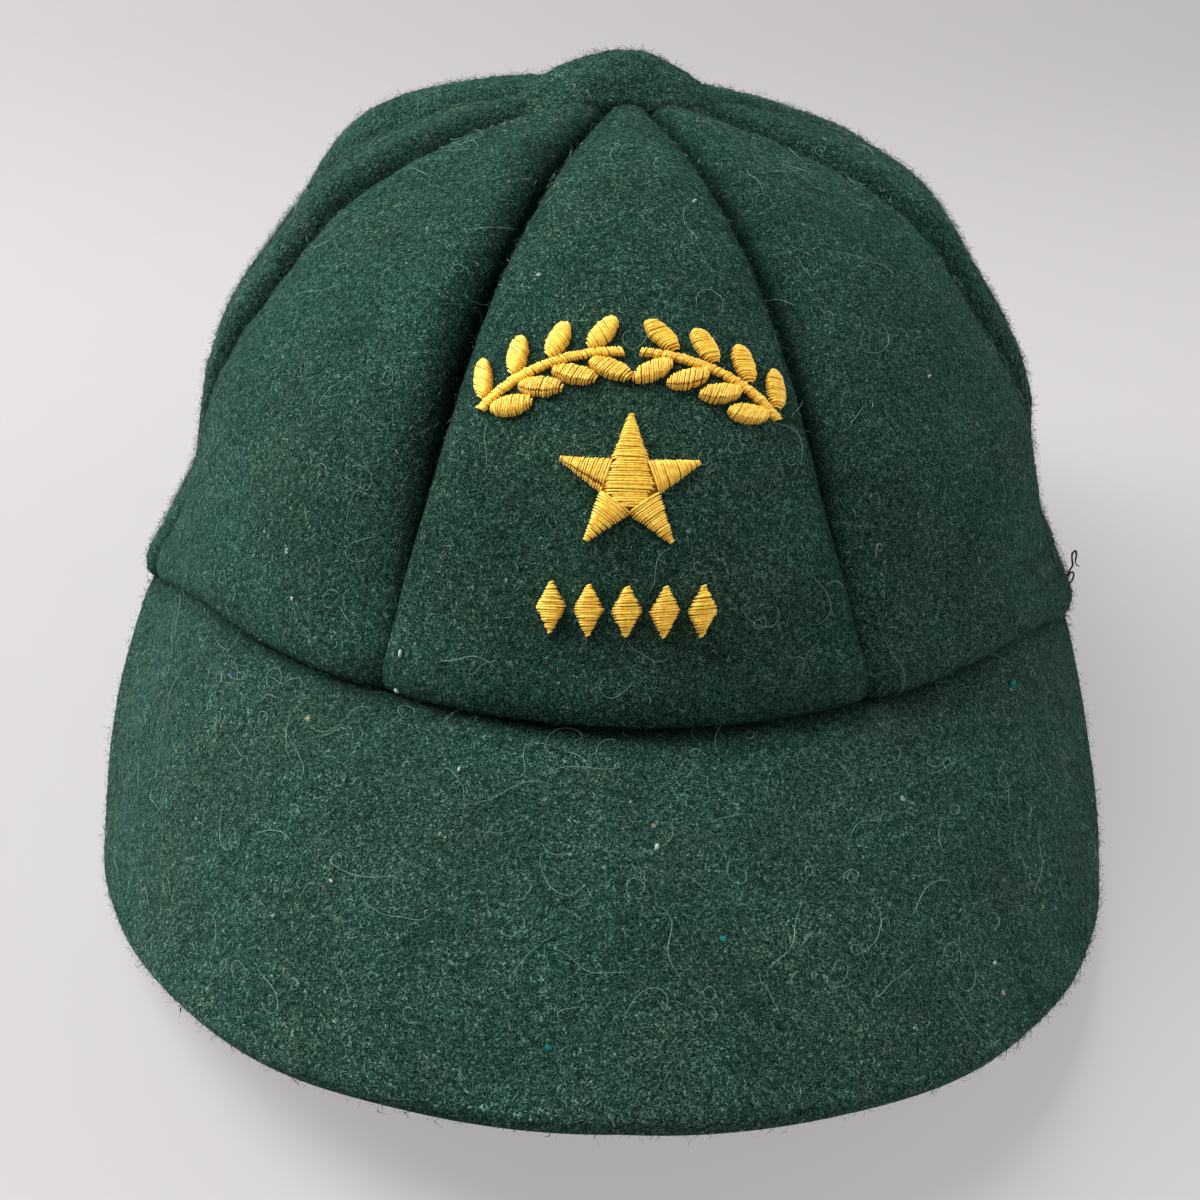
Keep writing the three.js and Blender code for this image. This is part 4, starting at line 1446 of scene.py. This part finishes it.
    def lozenge(self, number: int) -> None:
        """A lozenge of the row: level threads, from its lower to its upper point."""
        x = (number - (self.lozenges - 1) / 2) * self.lozenge_pitch
        half_width, half_height = self.lozenge_width / 2, self.lozenge_height / 2
        corners = np.array([[0, -half_height], [half_width, 0], [0, half_height], [-half_width, 0]])
        at = np.arange(-half_height + 0.2, half_height - 0.1, self.thread_pitch)
        half = half_width * (1 - np.abs(at) / half_height) + self.over
        starts = np.stack([x - half, at - self.lozenge_drop - 0.12], -1)
        ends = np.stack([x + half, at - self.lozenge_drop + 0.12], -1)
        outline = corners + np.array([x, -self.lozenge_drop])
        self.sew(f"lozenge_{number + 1}", outline, starts, ends, 61 + number)

    def build(self) -> None:
        """Builds all the embroidery."""
        self.star()
        self.sprig(-1, "right")
        self.sprig(1, "left")
        for number in range(self.lozenges):
            self.lozenge(number)


@dataclass
class Strays:
    """Long pale hairs caught on the felt, a few specks in it and a loop of thread on its right side.

    Attributes:
        shop: Frame and materials.
        crown: The crown's shape.
        peak: The peak's shape.
        hairs: Hairs on each gore.
        peak_hairs: Hairs on the peak.
        hair: A hair's radius, in mm.
        lift: Mean height of a hair over the felt, in mm.
        peak_specks: Turn, out, radius and colour number of each speck on the peak.
        crown_specks: Gore, place across from -1 to 1, place up from 0 to 1, radius and colour number.
        loop_gore: The gore that holds the loop.
        loop_up: Share of the way up the gore at the loop's foot.
        loop_across: The foot's place across the gore, from -1 to 1.
        loop_radius: The loop thread's radius, in mm.
        loop: The loop's line as lengths across and up from its foot, in mm.
    """

    shop: Workshop
    crown: Crown
    peak: Peak
    hairs: int = 26
    peak_hairs: int = 130
    hair: float = 0.045
    lift: float = 0.5
    peak_specks: tuple[tuple[float, ...], ...] = (
        (0.6, 0.133, 0.85, 1), (0.038, 0.347, 0.5, 0), (-0.195, 0.177, 0.36, 0), (0.427, 0.793, 0.34, 0),
        (-0.32, 0.55, 0.3, 0), (-0.6, 0.42, 0.32, 1), (0.3, 0.86, 0.28, 0),
    )
    crown_specks: tuple[tuple[float, ...], ...] = (
        (0, -0.9, 0.055, 0.42, 0), (0, -0.89, 0.1, 0.5, 0), (7, 0.475, 0.12, 0.34, 0), (0, 0.6, 0.7, 0.36, 0),
        (1, -0.2, 0.4, 0.3, 0),
    )
    loop_gore: int = 2
    loop_up: float = 0.095
    loop_across: float = -0.83
    loop_radius: float = 0.2
    loop: Rows = (
        (-1.3, -0.9), (0, 0), (0.45, 0.65), (0.55, 1.7), (0.2, 2.5), (-0.35, 2.5), (-0.75, 1.9), (-0.4, 2.7),
        (0.15, 3.6), (-0.1, 4.8), (-0.25, 5.9), (0.1, 6.6), (0.32, 5.9), (0.3, 5), (0.62, 4), (1.35, 3.4),
    )

    def hair_lines(self, grid: Array, count: int, seed: int) -> Array:
        """Curly lines over a grid of points.

        A line turns at a rate that drifts from step to step. Its places come from the grid's cells by
        bilinear mixing, and it rises and dips over the felt along a sine.

        Args:
            grid: Rows by columns by 3, in mm.
            count: How many lines.
            seed: The random seed.

        Returns:
            Lines by steps by 3, in mm.
        """
        rng = np.random.default_rng(seed)
        steps = 16
        rows, columns = grid.shape[:2]
        first_row = rng.uniform(0.08, 0.8, count) * (rows - 1)
        first_column = rng.uniform(0.12, 0.88, count) * (columns - 1)
        stride = (rng.uniform(4, 13, count) / steps)[:, None]
        bends = rng.normal(0, 0.16, (count, 1)) + np.cumsum(rng.normal(0, 0.1, (count, steps)), 1)
        heading = rng.uniform(0, 2 * np.pi, (count, 1)) + np.cumsum(bends, 1)
        cell = first_row.astype(int), first_column.astype(int)
        up, along = (np.linalg.norm(np.diff(grid, axis=axis), axis=-1)[cell][:, None] for axis in (0, 1))
        row = first_row[:, None] + np.cumsum(np.sin(heading), 1) * stride / np.maximum(up, 0.2)
        column = first_column[:, None] + np.cumsum(np.cos(heading), 1) * stride / np.maximum(along, 0.2)
        row, column = np.clip(row, 0, rows - 1.001), np.clip(column, 0, columns - 1.001)
        low, left = row.astype(int), column.astype(int)
        v, u = (row - low)[..., None], (column - left)[..., None]
        a, b, c, d = grid[low, left], grid[low, left + 1], grid[low + 1, left], grid[low + 1, left + 1]
        point = (1 - v) * ((1 - u) * a + u * b) + v * ((1 - u) * c + u * d)
        normal = unit(np.cross(b - a, c - a))
        turns = np.linspace(0, 1, steps) * rng.uniform(2, 9, (count, 1))
        waves = np.sin(turns + rng.uniform(0, 6, (count, 1)))
        return point + normal * (self.lift * (0.8 + 0.6 * waves))[..., None]

    def lay(self, name: str, lines: Array, radius: float, material: Material) -> None:
        """Builds lines as one piece of thin tubes that taper towards both ends."""
        share = np.linspace(-1, 1, lines.shape[1])
        parts = MeshParts().add(*tubes(lines, radius * (1 - 0.6 * share**4) * np.ones((len(lines), 1)), 4))
        self.shop.hand_in(parts, name, [material], Slot.FELT)

    def sprinkle(self, name: str, points: Array, normals: Array, sizes: Array, tints: Array) -> None:
        """Builds specks as low lumps, each a squashed ball of its own shape.

        Args:
            name: The piece's name.
            points: Their middles, in mm.
            normals: The felt's normals there.
            sizes: Their radii.
            tints: Their colour numbers.
        """
        rng = np.random.default_rng(77)
        count, steps, sides = len(points), 7, 8
        side = unit(np.cross(normals, unit(rng.normal(size=(count, 3)))))
        share = np.linspace(-1, 1, steps)
        along = side[:, None] * (share[:, None] * sizes[:, None, None] * 1.1)
        lines = points[:, None] + along + normals[:, None] * 0.25
        lines = lines + rng.normal(0, 0.04, lines.shape)
        radii = sizes[:, None] * 0.62 * np.sqrt(1 - (0.92 * share) ** 2)
        slots = (np.repeat(tints.astype(int), number) for number in ((steps - 1) * sides, 2 * sides))
        parts = MeshParts().add(*tubes(lines, radii, sides), *slots)
        self.shop.hand_in(parts, name, self.shop.specks, Slot.FELT)

    def on_gore(self, grid: Array, across: float, up: float) -> Array:
        """The grid's point nearest to a place across the gore, from -1 to 1, and a share of the way up."""
        rows, columns = grid.shape[:2]
        return grid[int(up * (rows - 1)), int((math.asin(across) / math.pi + 0.5) * (columns - 1))]

    def build(self, gores: list[Array], cover: Array) -> None:
        """Builds the hairs, the specks and the loop.

        Args:
            gores: The outer faces of the gores, as grids of points.
            cover: The upper face of the peak, as a grid of points that faces up.
        """
        for gore, side in enumerate(self.crown.sides):
            lines = self.hair_lines(gores[gore], self.hairs, 400 + gore)
            self.lay("hairs_gore_" + side, lines, self.hair, self.shop.pale_wool)
        self.lay("hairs_peak", self.hair_lines(cover, self.peak_hairs, 420), self.hair, self.shop.pale_wool)
        turn, out, size, tint = np.array(self.peak_specks).T
        self.sprinkle("specks_peak", self.peak.place(turn, out), self.peak.normal(turn, out), size, tint)
        points = np.array([self.on_gore(gores[gore], *place) for gore, *place, _, _ in self.crown_specks])
        size, tint = np.array(self.crown_specks)[:, 3:].T
        normals = unit(unit(points * LEVEL / self.crown.squares) + np.array([0, 0, 0.5]))
        self.sprinkle("specks_crown", points, normals, size, tint)
        fine = np.linspace(0, len(self.loop) - 1, 90)
        x, z = (read_rows(tuple(enumerate(values)), fine) for values in zip(*self.loop))
        foot = self.on_gore(gores[self.loop_gore], self.loop_across, self.loop_up)
        line = foot + np.stack([x, 0.5 * np.sin(fine * 0.9), z], -1)
        self.lay("thread_loop", line[None], self.loop_radius, self.shop.dark_thread)


@dataclass
class Studio:
    """The pale floor and wall, the soft lights, and the camera at the photograph's view of the cap."""

    place: CapFrame
    focal: float = 59.4
    distance: float = 380
    elevation: float = 23.66
    yaw: float = -1.44
    roll: float = 2.2
    target: Colour = (-1.36, 0, -6.9)
    aim: Colour = (0, 0.0, 0.05)

    def stand(self, thing: bpy.types.Object, axes: Array, at: Array) -> None:
        """Puts a camera or a lamp in the scene, by its X, Y and Z axes and its place in metres."""
        matrix = np.eye(4)
        matrix[:3, :3] = np.transpose(axes)
        matrix[:3, 3] = at
        thing.matrix_world = Matrix(matrix)
        bpy.context.scene.collection.objects.link(thing)

    def camera(self) -> None:
        """Sets the camera in the cap's frame, so that it sees the cap as the photograph does."""
        elevation, yaw, roll = (math.radians(value) for value in (self.elevation, self.yaw, self.roll))
        level = math.cos(elevation)
        back = np.array([math.sin(yaw) * level, -math.cos(yaw) * level, math.sin(elevation)])
        right = unit(np.cross(-back, [0, 0, 1]))
        above = np.cross(right, -back)
        across = math.cos(roll) * right + math.sin(roll) * above
        upward = -math.sin(roll) * right + math.cos(roll) * above
        data = bpy.data.cameras.new("camera")
        data.lens, data.sensor_width, data.clip_start = self.focal, 36, 0.01
        camera = bpy.data.objects.new("camera", data)
        at = self.place.points(np.array(self.target) + self.distance * back)
        self.stand(camera, self.place.directions(np.stack([across, upward, back])), at)
        bpy.context.scene.camera = camera

    def paper(self) -> Material:
        """Pale paper with a faint painted glow that lightens shadows, weaker towards the back and the right.
        """
        graph = Finish("pale_paper")
        grain = graph.noise(graph.place, 40.0, 3.0)
        colour = graph.mix(grain, (0.2, 0.193, 0.197, 1), (0.21, 0.202, 0.207, 1))
        axes = graph.add("SeparateXYZ", None, Vector=graph.place).outputs
        # painted light: the glow falls off towards the back and the right, as the lamps' light does
        far = graph.math("MULTIPLY", graph.ramp(axes[1], 0.08, 0.45), -0.15)
        side = graph.math("MULTIPLY", graph.ramp(axes[0], -0.3, 0.4), -0.055)
        painted_glow = graph.math("ADD", graph.math("ADD", far, side), 0.42)
        warm = (1.0, 0.97, 0.98, 1)
        return graph.end(Base_Color=colour, Roughness=0.9, Emission_Strength=painted_glow, Emission_Color=warm)

    def backdrop(self) -> None:
        """A floor that bends up into a wall: a straight run, a quarter circle and a straight run."""
        run, radius, wall, width = 1.6, 0.16, 1.5, 3.0
        bend_at = 0.42
        straight = np.stack([np.linspace(-run, bend_at, 12), np.zeros(12)], -1)
        turn = np.linspace(0, np.pi / 2, 17)[1:]
        bend = np.stack([bend_at + radius * np.sin(turn), radius * (1 - np.cos(turn))], -1)
        rise = np.stack([np.full(8, bend_at + radius), np.linspace(radius, wall, 9)[1:]], -1)
        profile = np.concatenate([straight, bend, rise])
        across = np.linspace(-width, width, 9)
        back, up = (profile[:, axis, None] + 0 * across for axis in (0, 1))
        grid = np.stack([across + 0 * profile[:, :1], back, up], -1)
        mesh = bpy.data.meshes.new("backdrop")
        mesh.from_pydata(grid.reshape(-1, 3).tolist(), [], grid_faces(*grid.shape[:2]).tolist())
        mesh.polygons.foreach_set("use_smooth", np.full(len(mesh.polygons), True))
        mesh.materials.append(self.paper())
        backdrop = bpy.data.objects.new("backdrop", mesh)
        bpy.context.scene.collection.objects.link(backdrop)

    def light(self, name: str, place: Colour, size: float, power: float, colour: Colour) -> None:
        """Adds a square soft light that faces the cap.

        Args:
            name: Its name.
            place: Where it hangs, in metres.
            size: Its side, in metres.
            power: Its power, in watts.
            colour: Its colour.
        """
        data = bpy.data.lights.new(name, "AREA")
        data.size, data.energy, data.color = size, power, colour
        back = unit(np.array(place) - np.array(self.aim))
        right = unit(np.cross([0, 0, 1], back))
        self.stand(bpy.data.objects.new(name, data), np.stack([right, np.cross(back, right), back]), place)

    def build(self) -> None:
        """Builds the stage and sets how the picture is shown."""
        self.camera()
        self.backdrop()
        warm, cool = (1.0, 0.98, 0.97), (0.97, 0.98, 1.0)
        self.light("key", (-0.75, 0.41, 1.13), 1.2, 43.0, warm)
        self.light("side", (-1.15, 0.5, 0.45), 0.9, 21.0, warm)
        self.light("fill", (1.2, 0.05, 0.45), 1.1, 9.0, cool)
        world = bpy.data.worlds.new("studio")
        world.use_nodes = True
        air = world.node_tree.nodes["Background"].inputs
        air["Color"].default_value, air["Strength"].default_value = (1.0, 0.985, 0.99, 1), 0.15
        bpy.context.scene.world = world
        bpy.context.scene.view_settings.view_transform = "Standard"


def main() -> None:
    """Builds the stage, then each sub-assembly."""
    crown = Crown()
    peak, button = Peak(crown), Button(crown)
    place = CapFrame(button.stem_bottom())
    log.info("the cap tips by %.2f degrees", math.degrees(place.tip))
    Studio(place).build()
    shop = Workshop(place)
    gores = CrownPiece(shop, crown).build()
    cover = PeakPiece(shop, peak).build()
    ButtonPiece(shop, button).build()
    BadgePiece(shop, crown).build()
    Strays(shop, crown, peak).build(gores, cover)


if __name__ == "__main__":
    logging.basicConfig(level=logging.INFO, format="%(name)s: %(message)s")
    main()
